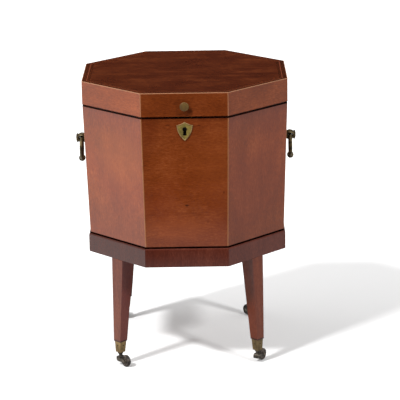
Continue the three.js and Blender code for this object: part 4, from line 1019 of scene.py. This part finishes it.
# %% Wheels, hubs and rivets
WHEEL = [(3.0, -4.4), (4.9, -4.4), (5.1, -4.0), (5.1, -3.1), (8.6, -2.9), (9.3, -3.2),
         (9.5, -4.2), (10.0, -4.5), (11.4, -4.5), (12.6, -3.9), (13.3, -2.6), (13.5, 0)]
WHEEL += [(radius, -height) for radius, height in reversed(WHEEL[:-1])]
HUB = [(2.35, -5.0), (4.5, -5.0), (5.0, -4.6), (5.2, -3.2), (5.2, 3.2), (5.0, 4.6), (4.5, 5.0),
       (2.35, 5.0)]
RIVET = [(0, -8.65), (1.6, -8.5), (2.8, -8.1), (3.3, -7.75), (2, -7.75), (2, 7.75),
         (3.3, 7.75), (2.8, 8.1), (1.6, 8.5), (0, 8.65)]
for corner_name in CORNERS:
    spin = joint_named(corner_name + "_wheel_spin")
    place = placed(spin["pos_m"], spin["axis"])
    wheel_body, castor_body = corner_name + "_wheel", corner_name + "_castor"
    make_piece(corner_name + "_tread", lathe(WHEEL, 56), place, tread_black, wheel_body,
               corner_name + "_castor_wheel")
    make_piece(corner_name + "_hub", lathe(HUB, 40), place, hub_brass, wheel_body,
               corner_name + "_castor_wheel")
    make_piece(corner_name + "_rivet", lathe(RIVET, 32), place, hub_brass, castor_body,
               corner_name + "_castor_axle")
print("wheels turned for", ", ".join(CORNERS))

# %% [markdown]
# ## Screws and pins
# Slotted screws with flat heads hold the hinges, the lock and its link plate, and three round
# pins hold each castor cup. A slot could be cut with a Boolean, but a head is simpler as two
# half discs with the slot between them. Each slot is turned by its own amount, as hand-driven
# screws are.

# %% Make a slotted screw
SLOT_DEEP, SLOT_HALF_SHARE = 0.35, 0.16


def screw(name, at, facing, radius, body, material, turn_degrees):
    work = bmesh.new()
    work.faces.new(loop_of(work, circle(radius, 32), -SLOT_DEEP))
    spread = math.asin(SLOT_HALF_SHARE)
    for half_turn in (0, math.pi):
        angles = [spread + half_turn + (math.pi - 2 * spread) * i / 16 for i in range(17)]
        outline = [(radius * math.cos(a), radius * math.sin(a)) for a in angles]
        low, high = loop_of(work, outline, -SLOT_DEEP), loop_of(work, outline, 0)
        walls_between(work, low, high)
        work.faces.new(high)
    place = placed(Vector(at) * MM, facing)
    place = place @ Matrix.Rotation(math.radians(turn_degrees), 4, "Z")
    return make_piece(name, work, place, material, body, smooth=30)


print("slots are", SLOT_DEEP, "mm deep")

# %% Drive the screws
UP, DOWN, BACKWARD = (0, 0, 1), (0, 0, -1), (0, 1, 0)
HINGE_X, HINGE_SCREWS = (-58, 58), (-16, 0, 16)
HINGE_SCREW_Y, KNUCKLE_SCREW_Y = 224.0, 222.5
LEAF_TOP_Z, LEAF_UNDER_Z = 595.13, 595.37
LOCK_Y, SELVEDGE_TOP_Z, LINK_UNDER_Z = -218.5, 593.52, 596.98
SELVEDGE_X, CASE_X, CASE_BACK_Y, LINK_X = 33.5, 26.8, -213.48, 19.5

count = 0
for hinge_x in HINGE_X:
    for offset in HINGE_SCREWS:
        for body, z, facing in (("chest", LEAF_TOP_Z, UP), ("lid", LEAF_UNDER_Z, DOWN)):
            by_knuckle = body == "chest" and offset == 0
            y = KNUCKLE_SCREW_Y if by_knuckle else HINGE_SCREW_Y
            count += 1
            screw(f"hinge_screw_{count}", (hinge_x + offset, y, z), facing, 2.5, body, brass,
                  37 * count)
for way in (-1, 1):
    count += 1
    screw(f"lock_screw_{count}", (SELVEDGE_X * way, LOCK_Y, SELVEDGE_TOP_Z), UP, 2.1, "chest",
          dark_iron, 53 * count)
    for z in (560, 588):
        count += 1
        screw(f"lock_screw_{count}", (CASE_X * way, CASE_BACK_Y, z), BACKWARD, 2.1, "chest",
              dark_iron, 53 * count)
for way in (-1, 1):
    count += 1
    screw(f"link_screw_{count}", (LINK_X * way, LOCK_Y, LINK_UNDER_Z), DOWN, 1.9, "lid", brass,
          41 * count)
print(count, "screws driven")

# %% Pin the castor cups
PIN = [(1.6, -0.5), (1.6, 0.15), (1.3, 0.42), (0.7, 0.62), (0, 0.7)]
CUP_OUT, CUP_PIN_Z, CUP_HALF, CUP_SLOPE = 221.1 * MM, 47 * MM, 8.74 * MM, 0.06

for corner_name in CORNERS:
    angle = math.atan2(1 if "back" in corner_name else -1, 1 if "right" in corner_name else -1)
    out = Vector((math.cos(angle), math.sin(angle), 0))
    along = Vector((-math.sin(angle), math.cos(angle), 0))
    middle = out * CUP_OUT + Vector((0, 0, CUP_PIN_Z))
    for i, way in enumerate((out, along, -along)):
        place = placed(middle + way * CUP_HALF, way - Vector((0, 0, CUP_SLOPE)))
        make_piece(f"{corner_name}_cup_pin_{i}", lathe(PIN, 20), place, dark_pin, "chest")
print("castor cups pinned")
